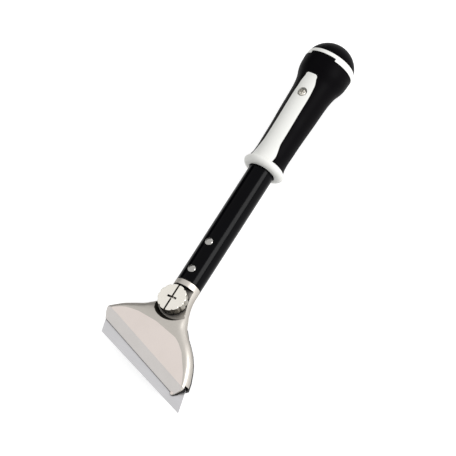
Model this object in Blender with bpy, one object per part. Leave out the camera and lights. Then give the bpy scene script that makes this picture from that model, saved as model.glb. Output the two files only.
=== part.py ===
"""Hand scraper: a long handle, a cast fan-shaped head and a clamped strip blade.

Tool frame (empty tool_frame): Y runs from the blade end to the dome along the tube's
axis and is zero where the head's ring meets the tube, Z points to the front face and X
to the right. The head's flat face lies in a plane tilted about X (empty blade_plane),
whose own Z is zero on the blade's upper side. All lengths are in metres.
"""

import math

import bmesh
import bpy

# Fits and small shared sizes
CLEARANCE = 0.0003
OVERRUN = 0.002
CREASE_ANGLE = math.radians(30)
TURNED_SIDES = 40
SMALL_SIDES = 20

# Tube and shank
TUBE_DIAMETER = 0.022
TUBE_WALL = 0.0015
FREE_TUBE = 0.1157
RIVET_FIRST = 0.0108
RIVET_PITCH = 0.0271
RIVET_SHAFT = 0.004
RIVET_HEAD = 0.0066
RIVET_DOME = 0.0013
SHANK_TAIL = 0.0081

# Handle
CORE_WALL = 0.00125
SLEEVE_WALL = 0.0018
COLLAR_RADIUS = 0.0181
COLLAR_LENGTH = 0.0065
MOUTH_FLARE = 0.0004
MOUTH_DEPTH = 0.003
GRIP_LENGTH = 0.1002
BAND_WIDTH = 0.0057
DOME_RADIUS = 0.0217
TUBE_STOP = 0.015
SPIGOT_RADIUS = 0.012
SPIGOT_LENGTH = 0.009
STRIP_PROUD = 0.0003
STRIP_END = 0.0175
STRIP_CORNER = 0.002
TAB_WIDTH = 0.022
TAB_HEIGHT = 0.002
SCREW_SHARE = 0.656
SCREW_HEAD = 0.0068
SCREW_HEAD_HEIGHT = 0.0018
SCREW_SHAFT = 0.0035
SCREW_LENGTH = 0.019
SCREW_CROSS = 0.0042
SCREW_CROSS_WIDTH = 0.0009
SCREW_CROSS_DEPTH = 0.0011
RECESS_DIAMETER = 0.0083
RECESS_DEPTH = 0.0025
ANCHOR_REACH = 0.012

# Blade
BLADE_LENGTH = 0.1
BLADE_WIDTH = 0.018
BLADE_THICKNESS = 0.0005
BLADE_END_ANGLE = math.radians(60)
BLADE_SKEW = math.radians(20.9)
BLADE_OFFSET = 0.0015
BLADE_REACH = 0.0716
EDGE_DEPTH = 0.0015
EDGE_THICKNESS = 0.00006

# Head
HEAD_TILT = math.radians(13)
HEAD_RISE = 0.0095
HEAD_THICKNESS = 0.008
HEAD_SKIRT = 0.012
LIP_SKEW = math.radians(22.3)
LIP_AHEAD = 0.00065
LIP_HEIGHT = 0.0008
BEVEL_WIDTH = 0.0098
RING_LENGTH = 0.0047
NECK_LENGTH = 0.025
NECK_FLARE = 0.004
ARM_DROP = 0.005
SADDLE_FLOOR = 0.005
SADDLE_RIM = 0.0105
FLOOR_RADIUS = 0.0195
FLOOR_SIDE = 0.0035
FLOOR_BACK = 0.0135
RIM_RADIUS = 0.0183
RIM_SIDE = 0.0023
RIM_BACK = 0.02
NECK_SEAT = 0.001
CHANNEL_WIDTH = 0.016
CHANNEL_START = 0.0062
LIP_BAR = 0.0035
END_ROOF = 0.0019
END_HOLLOW = 0.026
HOLLOW_BACK = 0.0122
NUB_RADIUS = 0.0017
NUB_HEIGHT = 0.0016
NUB_SHARE = 0.392

# Clamp
KNOB_REACH = 0.019
KNOB_DIAMETER = 0.024
KNOB_HEIGHT = 0.007
KNOB_CHAMFER = 0.0005
SCALLOP_COUNT = 12
SCALLOP_DEPTH = 0.0007
COIN_SLOT_WIDTH = 0.0015
COIN_SLOT_DEPTH = 0.0022
CROSS_SLOT_WIDTH = 0.0019
CROSS_SLOT_LENGTH = 0.0084
WASHER_RADIUS = 0.0108
WASHER_THICKNESS = 0.001
STUD_DIAMETER = 0.006
STUD_SOCKET = 0.0035
STUD_TAIL = 0.0115
GROOVE_DEPTH = 0.0005
GROOVE_OFFSET = 0.0008
RETAINER_THICKNESS = 0.0008
RETAINER_RADIUS = 0.0045
SPRING_WIRE = 0.0008
SPRING_RADIUS = 0.0042
SPRING_ROOM = 0.0004
SPRING_TURNS = 2
SPRING_SEAT = 0.0025
JAW_THICKNESS = 0.003
JAW_INSET = 0.0004
JAW_FRONT_INSET = 0.001
JAW_TAIL = 0.008
JAW_SHOULDER = 0.0275
INSERT_RADIUS = 0.0045
INSERT_FLANGE = 0.0062
INSERT_FLANGE_THICKNESS = 0.001
INSERT_TAIL = 0.007
PIN_DIAMETER = 0.003
PIN_HEIGHT = 0.003
PIN_SHARE = 0.36

# Handle outline: shares of the grip's length, and of the radius between waist and dome
GRIP_SHARES = (
    (0, 0.22), (0.02, 0.13), (0.05, 0.045), (0.085, 0.01), (0.13, 0), (0.187, 0.021),
    (0.327, 0.063), (0.503, 0.175),
    (0.609, 0.224), (0.715, 0.287), (0.786, 0.42), (0.821, 0.538), (0.857, 0.72),
    (0.892, 0.874), (0.928, 0.951), (0.963, 0.98), (1, 1),
)
# Collar outline: shares of the collar's length, and of the radius between waist and collar
COLLAR_SHARES = (
    (0, -0.35), (0.05, 0.1), (0.16, 0.5), (0.33, 0.82), (0.56, 1), (0.77, 0.86), (1, 0.5),
)
# Front strip: shares of the grip's length, and of the waist's radius
STRIP_SHARES = (
    (-0.02, 0.66), (0, 0.655), (0.03, 0.65), (0.065, 0.635), (0.118, 0.57), (0.168, 0.516),
    (0.25, 0.51), (0.45, 0.5), (0.62, 0.5), (0.71, 0.467), (0.755, 0.438), (0.8, 0.35),
)
# Neck outline: shares of the neck's length, and of its flare
NECK_SHARES = ((0, 0), (0.32, 0.02), (0.49, 0.13), (0.73, 0.46), (1, 1))
# Head outline, then the edge of its flat face: shares of the blade's length across and of the
# blade's reach along, and last the height where the side wall starts to roll over, as a share
# of the head's thickness
LEFT_END_SHARES = (
    (-0.476, -0.838, -0.452, -0.838, 0.4), (-0.483, -0.742, -0.45, -0.73, 0.4),
    (-0.494, -0.615, -0.443, -0.622, 0.4),
)
LEFT_SHARES = (
    (-0.482, -0.599, -0.428, -0.603, 0.4), (-0.425, -0.547, -0.385, -0.575, 0.35),
    (-0.37, -0.501, -0.333, -0.55, 0.3), (-0.295, -0.455, -0.27, -0.539, 0.25),
    (-0.222, -0.413, -0.21, -0.534, 0.15), (-0.176, -0.369, -0.15, -0.536, 0),
    (-0.146, -0.323, -0.088, -0.543, -0.4), (-0.122, -0.265, -0.03, -0.561, -0.75),
)
RIGHT_SHARES = (
    (0.122, -0.262, 0.055, -0.592, -0.75), (0.143, -0.335, 0.114, -0.609, -0.5),
    (0.167, -0.398, 0.15, -0.624, -0.2), (0.199, -0.492, 0.19, -0.648, 0.1),
    (0.246, -0.576, 0.24, -0.694, 0.25), (0.302, -0.655, 0.291, -0.763, 0.3),
    (0.352, -0.738, 0.328, -0.834, 0.3), (0.394, -0.832, 0.362, -0.911, 0.3),
    (0.42, -0.915, 0.386, -0.971, 0.3), (0.446, -1.03, 0.408, -1.045, 0.3),
    (0.457, -1.127, 0.424, -1.11, 0.3),
)
RIGHT_END_SHARES = ((0.368, -1.219, 0.366, -1.214, 0.4), (0.28, -1.311, 0.278, -1.306, 0.4))

# Sizes that follow from those above
TUBE_RADIUS = TUBE_DIAMETER / 2
BORE_RADIUS = TUBE_RADIUS - TUBE_WALL
SOCKET_RADIUS = TUBE_RADIUS + CLEARANCE
WAIST_RADIUS = SOCKET_RADIUS + CORE_WALL + CLEARANCE + SLEEVE_WALL
GRIP_START = FREE_TUBE + COLLAR_LENGTH + CLEARANCE
BAND_START = GRIP_START + GRIP_LENGTH + CLEARANCE
BAND_END = BAND_START + BAND_WIDTH
TUBE_END = BAND_START - TUBE_STOP
RIVET_PLACES = (RIVET_FIRST, RIVET_FIRST + RIVET_PITCH)
SHANK_END = RIVET_FIRST + RIVET_PITCH + SHANK_TAIL
SCREW_PLACE = GRIP_START + SCREW_SHARE * GRIP_LENGTH
CAP_BASE = BAND_END + CLEARANCE
NECK_SURFACE = -NECK_SEAT
KNOB_BASE = SADDLE_FLOOR + CLEARANCE + WASHER_THICKNESS + CLEARANCE
JAW_TOP = NECK_SURFACE - CLEARANCE
STUD_RADIUS = STUD_DIAMETER / 2
STUD_BORE = STUD_RADIUS + CLEARANCE
BLADE_SHIFT = BLADE_WIDTH / 2 / math.tan(BLADE_END_ANGLE)
BLADE_CENTRE = (-BLADE_OFFSET, -BLADE_REACH, 0)
BLADE_CORNER = BLADE_LENGTH / 2 + BLADE_SHIFT
REST_HEIGHT = DOME_RADIUS
BLADE_TIP = (
    -BLADE_REACH - BLADE_CORNER * math.sin(BLADE_SKEW) - BLADE_WIDTH / 2 * math.cos(BLADE_SKEW)
)
TOOL_FRONT = (
    BLADE_TIP * math.cos(HEAD_TILT) + (BLADE_THICKNESS - EDGE_THICKNESS) / 2 * math.sin(HEAD_TILT)
)
TOOL_BACK = BAND_START + DOME_RADIUS


def linear(code):
    """Linear colour of an sRGB hex code."""
    values = [int(code[i:i + 2], 16) / 255 for i in (0, 2, 4)]
    return [v / 12.92 if v <= 0.04045 else ((v + 0.055) / 1.055) ** 2.4 for v in values]


def material(name, code, roughness, metallic):
    look = bpy.data.materials.new(name)
    look.use_nodes = True
    shader = look.node_tree.nodes["Principled BSDF"]
    shader.inputs["Base Color"].default_value = linear(code) + [1]
    shader.inputs["Roughness"].default_value = roughness
    shader.inputs["Metallic"].default_value = metallic
    return look


def empty(name, parent, location, rotation=(0, 0, 0)):
    frame = bpy.data.objects.new(name, None)
    bpy.context.scene.collection.objects.link(frame)
    frame.parent = parent
    frame.location = location
    frame.rotation_euler = rotation
    return frame


def place(name, bm, look, parent, location=(0, 0, 0), rotation=(0, 0, 0)):
    """Object from a bmesh; without a material it is a hidden guide."""
    bmesh.ops.recalc_face_normals(bm, faces=bm.faces)
    mesh = bpy.data.meshes.new(name)
    bm.to_mesh(mesh)
    bm.free()
    mesh.shade_smooth()
    mesh.set_sharp_from_angle(angle=CREASE_ANGLE)
    thing = bpy.data.objects.new(name, mesh)
    bpy.context.scene.collection.objects.link(thing)
    thing.parent = parent
    thing.location = location
    thing.rotation_euler = rotation
    if look:
        mesh.materials.append(look)
    else:
        thing.hide_render = True
        thing.display_type = "WIRE"
    return thing


def stack(rings):
    """Closed body through rings of equally many points, with both ends capped."""
    bm = bmesh.new()
    loops = [[bm.verts.new(point) for point in ring] for ring in rings]
    count = len(loops[0])
    for low, high in zip(loops, loops[1:]):
        for i in range(count):
            j = (i + 1) % count
            bm.faces.new((low[i], low[j], high[j], high[i]))
    bm.faces.new(loops[0][::-1])
    bm.faces.new(loops[-1])
    return bm


def prism(outline, low, high):
    return stack([[(x, y, z) for x, y in outline] for z in (low, high)])


def block(x_range, y_range, z_range):
    (x0, x1), (y0, y1) = x_range, y_range
    return prism([(x0, y0), (x1, y0), (x1, y1), (x0, y1)], *z_range)


def side_prism(profile, half_width):
    """Prism along X from a profile of (y, z) points."""
    return stack([[(x, y, z) for y, z in profile] for x in (-half_width, half_width)])


def turned(profile, sides, along=False):
    """Body turned about Z, or along the tool's Y, from a closed loop of (radius, height) points."""
    bm = bmesh.new()
    angles = [2 * math.pi * i / sides for i in range(sides)]

    def point(radius, angle, height):
        x, y = radius * math.cos(angle), radius * math.sin(angle)
        return bm.verts.new((x, height, y) if along else (x, y, height))

    rings = []
    for radius, height in profile:
        if radius:
            rings.append([point(radius, angle, height) for angle in angles])
        else:
            rings.append([point(0, 0, height)] * sides)
    for low, high in zip(rings, rings[1:] + rings[:1]):
        for i in range(sides):
            j = (i + 1) % sides
            corners = list(dict.fromkeys((low[i], low[j], high[j], high[i])))
            if len(corners) > 2:
                bm.faces.new(corners)
    return bm


def cylinder(radius, low, high, sides=SMALL_SIDES, along=False):
    return turned([(0, low), (radius, low), (radius, high), (0, high)], sides, along)


def tube_body(outer, inner, low, high, sides=SMALL_SIDES, along=False):
    return turned([(inner, low), (outer, low), (outer, high), (inner, high)], sides, along)


def combine(target, other, operation="DIFFERENCE"):
    step = target.modifiers.new(other.name, "BOOLEAN")
    step.operation = operation
    step.solver = "EXACT"
    step.object = other


def dome_points(radius, height, base, count=5):
    """Points (radius, z) from a domed head's rim up to its crown."""
    steps = [math.pi / 2 * i / count for i in range(count + 1)]
    points = [(radius * math.cos(a), base + height * math.sin(a)) for a in steps]
    return points[:-1] + [(0, base + height)]


def smooth_run(rows, steps=3):
    """Rows with more rows between them on a smooth curve through them."""
    padded = [rows[0], *rows, rows[-1]]
    result = []
    for before, start, end, after in zip(padded, padded[1:], padded[2:], padded[3:]):
        for step in range(steps):
            t = step / steps
            weights = (
                (-t + 2 * t**2 - t**3) / 2,
                (2 - 5 * t**2 + 3 * t**3) / 2,
                (t + 4 * t**2 - 3 * t**3) / 2,
                (t**3 - t**2) / 2,
            )
            parts = zip(before, start, end, after)
            result.append(tuple(sum(w * v for w, v in zip(weights, part)) for part in parts))
    return result + [rows[-1]]


def plane_point(depth, height):
    """Tool-frame (y, z) of a point of the blade plane's frame."""
    return (
        depth * math.cos(HEAD_TILT) - height * math.sin(HEAD_TILT),
        HEAD_RISE + depth * math.sin(HEAD_TILT) + height * math.cos(HEAD_TILT),
    )


def plane_depth(height, level):
    """Depth in the blade plane's frame where the plane at height crosses a tool-frame level."""
    return (level - HEAD_RISE - height * math.cos(HEAD_TILT)) / math.sin(HEAD_TILT)


def underside(height, level):
    """Bent line of (y, z) points: level at the neck, then along the blade plane."""
    far = -BLADE_REACH - BLADE_LENGTH
    return [(CLEARANCE, level), plane_point(plane_depth(height, level), height), plane_point(far, height)]


def arc(centre, radius, start, end, count):
    steps = [start + (end - start) * i / count for i in range(count + 1)]
    return [(centre[0] + radius * math.cos(a), centre[1] + radius * math.sin(a)) for a in steps]


def inset(points, distance):
    """Clockwise outline moved inward by a distance."""
    result = []
    for before, here, after in zip(points[-1:] + points[:-1], points, points[1:] + points[:1]):
        normals = []
        for start, end in ((before, here), (here, after)):
            dx, dy = end[0] - start[0], end[1] - start[1]
            length = math.hypot(dx, dy)
            normals.append((dy / length, -dx / length))
        (ax, ay), (bx, by) = normals
        scale = distance / (1 + ax * bx + ay * by)
        result.append((here[0] + (ax + bx) * scale, here[1] + (ay + by) * scale))
    return result


def head_rows():
    """Rows of outline x, y, face edge x, y and roll-over height in the blade plane's frame."""
    rows = [*LEFT_END_SHARES, *smooth_run(LEFT_SHARES), *smooth_run(RIGHT_SHARES), *RIGHT_END_SHARES]
    scales = (BLADE_LENGTH, BLADE_REACH, BLADE_LENGTH, BLADE_REACH, HEAD_THICKNESS)
    return [[share * scale for share, scale in zip(row, scales)] for row in rows]


def fan_body():
    """Fan of the head: upright wall that rolls over in a quarter ellipse to the flat face."""
    rows = head_rows()
    rings = [[(x, y, -HEAD_SKIRT) for x, y, *_ in rows]]
    steps = 5
    for step in range(steps):
        angle = math.pi / 2 * step / (steps - 1)
        inward, upward = 1 - math.cos(angle), math.sin(angle)
        rings.append([
            (x + (fx - x) * inward, y + (fy - y) * inward, low + (HEAD_THICKNESS - low) * upward)
            for x, y, fx, fy, low in rows
        ])
    bm = stack(rings)
    bmesh.ops.triangulate(bm, faces=bm.faces)
    return bm


def bevel_height(depth):
    """Height of the front bevel at a depth behind the lip."""
    return LIP_HEIGHT + (HEAD_THICKNESS - LIP_HEIGHT) * depth / BEVEL_WIDTH


def front_cutter():
    """Everything ahead of the lip and above the bevel, in the lip's frame."""
    behind = 2 * BEVEL_WIDTH
    top = bevel_height(behind)
    return side_prism([
        (-LIP_AHEAD, -HEAD_SKIRT - OVERRUN), (-LIP_AHEAD, LIP_HEIGHT),
        (behind - LIP_AHEAD, top), (-BLADE_LENGTH, top), (-BLADE_LENGTH, -HEAD_SKIRT - OVERRUN),
    ], BLADE_LENGTH)


def end_hollow():
    """Hollow under the bevel and the edge of the fan, open at the right end of the lip."""
    start, bend, end = (depth - LIP_AHEAD for depth in (LIP_BAR, BEVEL_WIDTH, HOLLOW_BACK))
    profile = [
        (start, -HEAD_SKIRT), (start, bevel_height(LIP_BAR) - END_ROOF),
        (bend, HEAD_THICKNESS - END_ROOF), (end, HEAD_THICKNESS - END_ROOF), (end, -HEAD_SKIRT),
    ]
    near = BLADE_LENGTH / 2 - END_HOLLOW
    return stack([[(x, y, z) for y, z in profile] for x in (near, BLADE_LENGTH)])


def underside_cutter():
    line = underside(-BLADE_THICKNESS, NECK_SURFACE)
    return side_prism([*line, (line[-1][0], -BLADE_LENGTH), (line[0][0], -BLADE_LENGTH)], BLADE_LENGTH)


def saddle_cutter():
    """Knob's seat: open at both sides, with a wall that leans back towards the fan."""
    rings = []
    for side, back, radius, height in (
        (FLOOR_SIDE, FLOOR_BACK, FLOOR_RADIUS, SADDLE_FLOOR),
        (RIM_SIDE, RIM_BACK, RIM_RADIUS, SADDLE_RIM),
        (RIM_SIDE, RIM_BACK, RIM_RADIUS, TUBE_DIAMETER),
    ):
        outline = arc((side, -back), radius, math.pi, 2 * math.pi, 24)
        outline += [(side + radius, -RING_LENGTH), (side - radius, -RING_LENGTH)]
        rings.append([(x, y, height) for x, y in outline])
    bm = stack(rings)
    bmesh.ops.triangulate(bm, faces=bm.faces)
    return bm


def pin_places():
    """Tool-frame (x, y) of the two stop pins just behind the blade's back edge."""
    places = []
    behind = BLADE_WIDTH / 2 + CLEARANCE + PIN_DIAMETER / 2
    for side in (-1, 1):
        along = side * PIN_SHARE * BLADE_LENGTH
        x = along * math.cos(BLADE_SKEW) + behind * math.sin(BLADE_SKEW) - BLADE_OFFSET
        y = behind * math.cos(BLADE_SKEW) - along * math.sin(BLADE_SKEW) - BLADE_REACH
        places.append((x, *plane_point(y, 0)))
    return places


def cross_hole(name, parent, y, radius, low, high):
    """Guide along Z that cuts a round hole."""
    return place(name, cylinder(radius, low, high), None, parent, (0, y, 0))


def nub_body():
    """Small round nub at the right end of the lip, over the blade, in the lip's frame."""
    bm = cylinder(NUB_RADIUS, 2 * CLEARANCE, NUB_HEIGHT)
    bmesh.ops.translate(bm, verts=bm.verts, vec=(NUB_SHARE * BLADE_LENGTH, CLEARANCE - LIP_AHEAD, 0))
    return bm


def fan_blank(tool, plane):
    """Hidden guide: the fan with its underside, blade slot, bevel, end hollow and nub."""
    blank = place("fan_blank", fan_body(), None, plane)
    combine(blank, place("cut_underside", underside_cutter(), None, tool))
    slot = block(
        (-BLADE_LENGTH, BLADE_LENGTH), (-BLADE_LENGTH, BLADE_WIDTH / 2 + CLEARANCE),
        (-HEAD_SKIRT - OVERRUN, CLEARANCE),
    )
    combine(blank, place("cut_blade", slot, None, plane, BLADE_CENTRE, (0, 0, -BLADE_SKEW)))
    combine(blank, place("cut_front", front_cutter(), None, plane, BLADE_CENTRE, (0, 0, -LIP_SKEW)))
    combine(blank, place("cut_end", end_hollow(), None, plane, BLADE_CENTRE, (0, 0, -LIP_SKEW)))
    nub = place("lip_nub", nub_body(), None, plane, BLADE_CENTRE, (0, 0, -LIP_SKEW))
    combine(blank, nub, "UNION")
    return blank


def build_head(tool, plane, look):
    shank = BORE_RADIUS - CLEARANCE
    neck = [(TUBE_RADIUS + r * NECK_FLARE, -y * NECK_LENGTH) for y, r in smooth_run(NECK_SHARES, 2)]
    stem = turned([
        (0, -NECK_LENGTH), *neck[::-1], (shank, 0), (shank, SHANK_END), (0, SHANK_END),
    ], TURNED_SIDES, True)
    casting = place("head_casting", stem, look, tool)
    combine(casting, fan_blank(tool, plane), "UNION")
    combine(casting, place("cut_saddle", saddle_cutter(), None, tool))
    beyond = NECK_LENGTH + OVERRUN
    half = CHANNEL_WIDTH / 2
    channel = block((-half, half), (-beyond, -CHANNEL_START), (-TUBE_DIAMETER, NECK_SURFACE))
    combine(casting, place("cut_channel", channel, None, tool))
    trim = block((-TUBE_DIAMETER, TUBE_DIAMETER), (-beyond, -CHANNEL_START), (-TUBE_DIAMETER, -ARM_DROP))
    combine(casting, place("cut_arms", trim, None, tool))
    hole = RIVET_SHAFT / 2 + CLEARANCE
    for number, y in enumerate(RIVET_PLACES):
        combine(casting, cross_hole(f"cut_rivet_{number}", tool, y, hole, -TUBE_DIAMETER, TUBE_DIAMETER))
    radius = PIN_DIAMETER / 2 + CLEARANCE
    for number, (x, y, z) in enumerate(pin_places()):
        well = cylinder(radius, -HEAD_SKIRT, PIN_HEIGHT + CLEARANCE)
        combine(casting, place(f"cut_pin_{number}", well, None, tool, (x, y, z)))
    seat = SPRING_RADIUS + SPRING_WIRE / 2 + SPRING_ROOM
    bore = turned([
        (0, -ARM_DROP), (seat, -ARM_DROP), (seat, SPRING_SEAT),
        (STUD_BORE, SPRING_SEAT), (STUD_BORE, HEAD_RISE), (0, HEAD_RISE),
    ], SMALL_SIDES)
    combine(casting, place("cut_bore", bore, None, tool, (0, -KNOB_REACH, 0)))


def build_blade(plane, look):
    half, thick, edge = BLADE_WIDTH / 2, BLADE_THICKNESS, EDGE_THICKNESS
    profile = [
        (-half, (edge - thick) / 2), (EDGE_DEPTH - half, 0), (half, 0),
        (half, -thick), (EDGE_DEPTH - half, -thick), (-half, -(edge + thick) / 2),
    ]
    ends = [
        [(side * BLADE_LENGTH / 2 - y / math.tan(BLADE_END_ANGLE), y, z) for y, z in profile]
        for side in (-1, 1)
    ]
    place("blade", stack(ends), look, plane, BLADE_CENTRE, (0, 0, -BLADE_SKEW))


def jaw_plan():
    """Outline of the jaw seen from above: the head's outline with a narrow neck, set inward."""
    half = CHANNEL_WIDTH / 2
    level = -(BLADE_THICKNESS + CLEARANCE + JAW_THICKNESS)
    left = [row[:2] for row in (*LEFT_END_SHARES, *LEFT_SHARES[:6])]
    right = [row[:2] for row in (*RIGHT_SHARES[3:], *RIGHT_END_SHARES)]

    def flat(rows):
        return [(x * BLADE_LENGTH, plane_point(y * BLADE_REACH, level)[0]) for x, y in rows]

    neck = [(-half, -JAW_SHOULDER), (-half, -JAW_TAIL), (half, -JAW_TAIL), (half, -JAW_SHOULDER)]
    return inset(flat(left) + neck + flat(right), JAW_INSET)


def build_jaw(tool, plane, look, insert_look):
    height = -(BLADE_THICKNESS + CLEARANCE)
    above = underside(height, JAW_TOP)
    below = underside(height - JAW_THICKNESS, JAW_TOP - JAW_THICKNESS)
    jaw = place("rear_jaw", side_prism(above + below[::-1], BLADE_LENGTH), look, tool)
    plan = prism(jaw_plan(), -BLADE_LENGTH / 2, HEAD_RISE)
    combine(jaw, place("cut_jaw_plan", plan, None, tool), "INTERSECT")
    ahead = block(
        (-BLADE_LENGTH, BLADE_LENGTH), (-BLADE_LENGTH, JAW_FRONT_INSET - LIP_AHEAD),
        (-HEAD_SKIRT - HEAD_THICKNESS, HEAD_THICKNESS),
    )
    combine(jaw, place("cut_jaw_front", ahead, None, plane, BLADE_CENTRE, (0, 0, -LIP_SKEW)))
    hole = INSERT_RADIUS + CLEARANCE
    combine(jaw, cross_hole("cut_jaw_insert", tool, -KNOB_REACH, hole, -HEAD_SKIRT, HEAD_RISE))
    for number, (x, y, z) in enumerate(pin_places()):
        well = cylinder(PIN_DIAMETER / 2 + CLEARANCE, -HEAD_SKIRT, HEAD_THICKNESS)
        combine(jaw, place(f"cut_jaw_pin_{number}", well, None, tool, (x, y, z)))
    flange = JAW_TOP - JAW_THICKNESS - CLEARANCE
    insert = turned([
        (STUD_BORE, -INSERT_TAIL), (INSERT_RADIUS, -INSERT_TAIL),
        (INSERT_RADIUS, flange - INSERT_FLANGE_THICKNESS),
        (INSERT_FLANGE, flange - INSERT_FLANGE_THICKNESS), (INSERT_FLANGE, flange),
        (INSERT_RADIUS, flange), (INSERT_RADIUS, JAW_TOP), (STUD_BORE, JAW_TOP),
    ], SMALL_SIDES)
    place("jaw_insert", insert, insert_look, tool, (0, -KNOB_REACH, 0))
    for name, (x, y, z) in zip(("blade_stop_pin_left", "blade_stop_pin_right"), pin_places()):
        pin = cylinder(PIN_DIAMETER / 2, height - JAW_THICKNESS, PIN_HEIGHT)
        place(name, pin, insert_look, tool, (x, y, z))


def knob_body():
    """Round knob with a scalloped edge, a coin slot, a short cross slot and a stud socket."""
    radius = KNOB_DIAMETER / 2
    count = SCALLOP_COUNT * 8
    rings = []
    for z, less in ((0, 0), (KNOB_HEIGHT - KNOB_CHAMFER, 0), (KNOB_HEIGHT, KNOB_CHAMFER)):
        ring = []
        for i in range(count):
            angle = 2 * math.pi * i / count
            hollow = SCALLOP_DEPTH * max(0, math.cos(SCALLOP_COUNT * angle)) ** 2
            reach = radius - less - hollow
            ring.append((reach * math.cos(angle), reach * math.sin(angle), z))
        rings.append(ring)
    return stack(rings)


def build_clamp(tool, steel, dark):
    spot = (0, -KNOB_REACH, KNOB_BASE)
    centre = (0, -KNOB_REACH, 0)
    knob = place("clamp_knob", knob_body(), steel, tool, spot)
    half, reach = COIN_SLOT_WIDTH / 2, KNOB_DIAMETER / 2 + OVERRUN
    slot = block((-half, half), (-reach, reach), (KNOB_HEIGHT - COIN_SLOT_DEPTH, KNOB_HEIGHT + OVERRUN))
    combine(knob, place("cut_coin_slot", slot, None, tool, spot))
    half, reach = CROSS_SLOT_WIDTH / 2, CROSS_SLOT_LENGTH / 2
    cross = block((-reach, reach), (-half, half), (KNOB_HEIGHT - COIN_SLOT_DEPTH, KNOB_HEIGHT + OVERRUN))
    combine(knob, place("cut_cross_slot", cross, None, tool, spot))
    socket = cylinder(STUD_BORE, -OVERRUN, STUD_SOCKET + CLEARANCE)
    combine(knob, place("cut_socket", socket, None, tool, spot))
    base = SADDLE_FLOOR + CLEARANCE
    washer = tube_body(WASHER_RADIUS, STUD_BORE, base, base + WASHER_THICKNESS, TURNED_SIDES)
    place("knob_washer", washer, steel, tool, centre)
    groove = GROOVE_OFFSET - STUD_TAIL
    groove_end = groove + RETAINER_THICKNESS + 2 * CLEARANCE
    core = STUD_RADIUS - GROOVE_DEPTH
    stud = turned([
        (0, -STUD_TAIL), (STUD_RADIUS, -STUD_TAIL), (STUD_RADIUS, groove), (core, groove),
        (core, groove_end), (STUD_RADIUS, groove_end), (STUD_RADIUS, KNOB_BASE + STUD_SOCKET),
        (0, KNOB_BASE + STUD_SOCKET),
    ], SMALL_SIDES)
    place("clamp_stud", stud, steel, tool, centre)
    low = groove + CLEARANCE
    ring = tube_body(RETAINER_RADIUS, core + CLEARANCE, low, low + RETAINER_THICKNESS)
    place("stud_retaining_ring", ring, dark, tool, centre)
    place("lift_spring", spring_body(), steel, tool, centre)


def spring_body():
    """Coil between the jaw's insert and the seat in the head."""
    wire = SPRING_WIRE / 2
    low, high = JAW_TOP + CLEARANCE + wire, SPRING_SEAT - CLEARANCE - wire
    steps, sides = SPRING_TURNS * 14, 6
    rings = []
    for step in range(steps + 1):
        turn = 2 * math.pi * SPRING_TURNS * step / steps
        height = low + (high - low) * step / steps
        ring = []
        for i in range(sides):
            angle = 2 * math.pi * i / sides
            reach = SPRING_RADIUS + wire * math.cos(angle)
            ring.append((reach * math.cos(turn), reach * math.sin(turn), height + wire * math.sin(angle)))
        rings.append(ring)
    return stack(rings)


def grip_outline():
    """Points (radius, y) of the grip's outside."""
    span = DOME_RADIUS - WAIST_RADIUS
    return [(WAIST_RADIUS + r * span, GRIP_START + y * GRIP_LENGTH) for y, r in GRIP_SHARES]


def grip_radius(y):
    points = grip_outline()
    for (r0, y0), (r1, y1) in zip(points, points[1:]):
        if y0 <= y <= y1:
            return r0 + (r1 - r0) * (y - y0) / (y1 - y0)
    return points[-1][0]


def sphere_points(start, end, count):
    """Points (radius, y) of the dome's sphere between two distances from its middle."""
    first, last = math.asin(start / DOME_RADIUS), math.asin(end / DOME_RADIUS)
    angles = [first + (last - first) * i / count for i in range(count + 1)]
    return [(DOME_RADIUS * math.cos(a), BAND_START + DOME_RADIUS * math.sin(a)) for a in angles]


def core_body():
    """Collar, sleeve seat and band, with a socket for the tube and one for the cap's spigot."""
    collar = [
        (WAIST_RADIUS + r * (COLLAR_RADIUS - WAIST_RADIUS), FREE_TUBE + y * COLLAR_LENGTH)
        for y, r in COLLAR_SHARES
    ]
    under = [(r - SLEEVE_WALL - CLEARANCE, y) for r, y in grip_outline()]
    under[0] = (under[0][0], FREE_TUBE + COLLAR_LENGTH)
    under[-1] = (under[-1][0], BAND_START)
    bore, floor = SPIGOT_RADIUS + CLEARANCE, BAND_END - SPIGOT_LENGTH - CLEARANCE
    return turned([
        (0, TUBE_END + CLEARANCE), (SOCKET_RADIUS, TUBE_END + CLEARANCE),
        (SOCKET_RADIUS, FREE_TUBE + MOUTH_DEPTH), (SOCKET_RADIUS + MOUTH_FLARE, FREE_TUBE),
        *collar, *under, *sphere_points(0, BAND_WIDTH, 2), (bore, BAND_END), (bore, floor), (0, floor),
    ], TURNED_SIDES, True)


def strip_outline(margin):
    """Outline of the front strip seen from the front, with two round corners at its upper end."""
    side = [(r * WAIST_RADIUS + margin, GRIP_START + y * GRIP_LENGTH) for y, r in STRIP_SHARES]
    side[0] = (side[0][0], side[0][1] - margin)
    corner = STRIP_CORNER + margin
    centre = (side[-1][0] - corner, SCREW_PLACE + STRIP_END - STRIP_CORNER)
    side += arc(centre, corner, 0, math.pi / 2, 5)
    return side + [(-x, y) for x, y in side[::-1]]


def strip_blank(tool):
    """Hidden guide: the raised strip, deep enough to join the core under the sleeve."""
    outer = [(r + STRIP_PROUD, y) for r, y in grip_outline()]
    outer.insert(0, (outer[0][0], FREE_TUBE + COLLAR_LENGTH - OVERRUN))
    depth = STRIP_PROUD + SLEEVE_WALL + CLEARANCE + CORE_WALL / 2
    shell = turned(outer + [(r - depth, y) for r, y in outer[::-1]], TURNED_SIDES, True)
    blank = place("strip_blank", shell, None, tool)
    plan = prism(strip_outline(0), 0, 2 * DOME_RADIUS)
    combine(blank, place("cut_strip_plan", plan, None, tool), "INTERSECT")
    return blank


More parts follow.
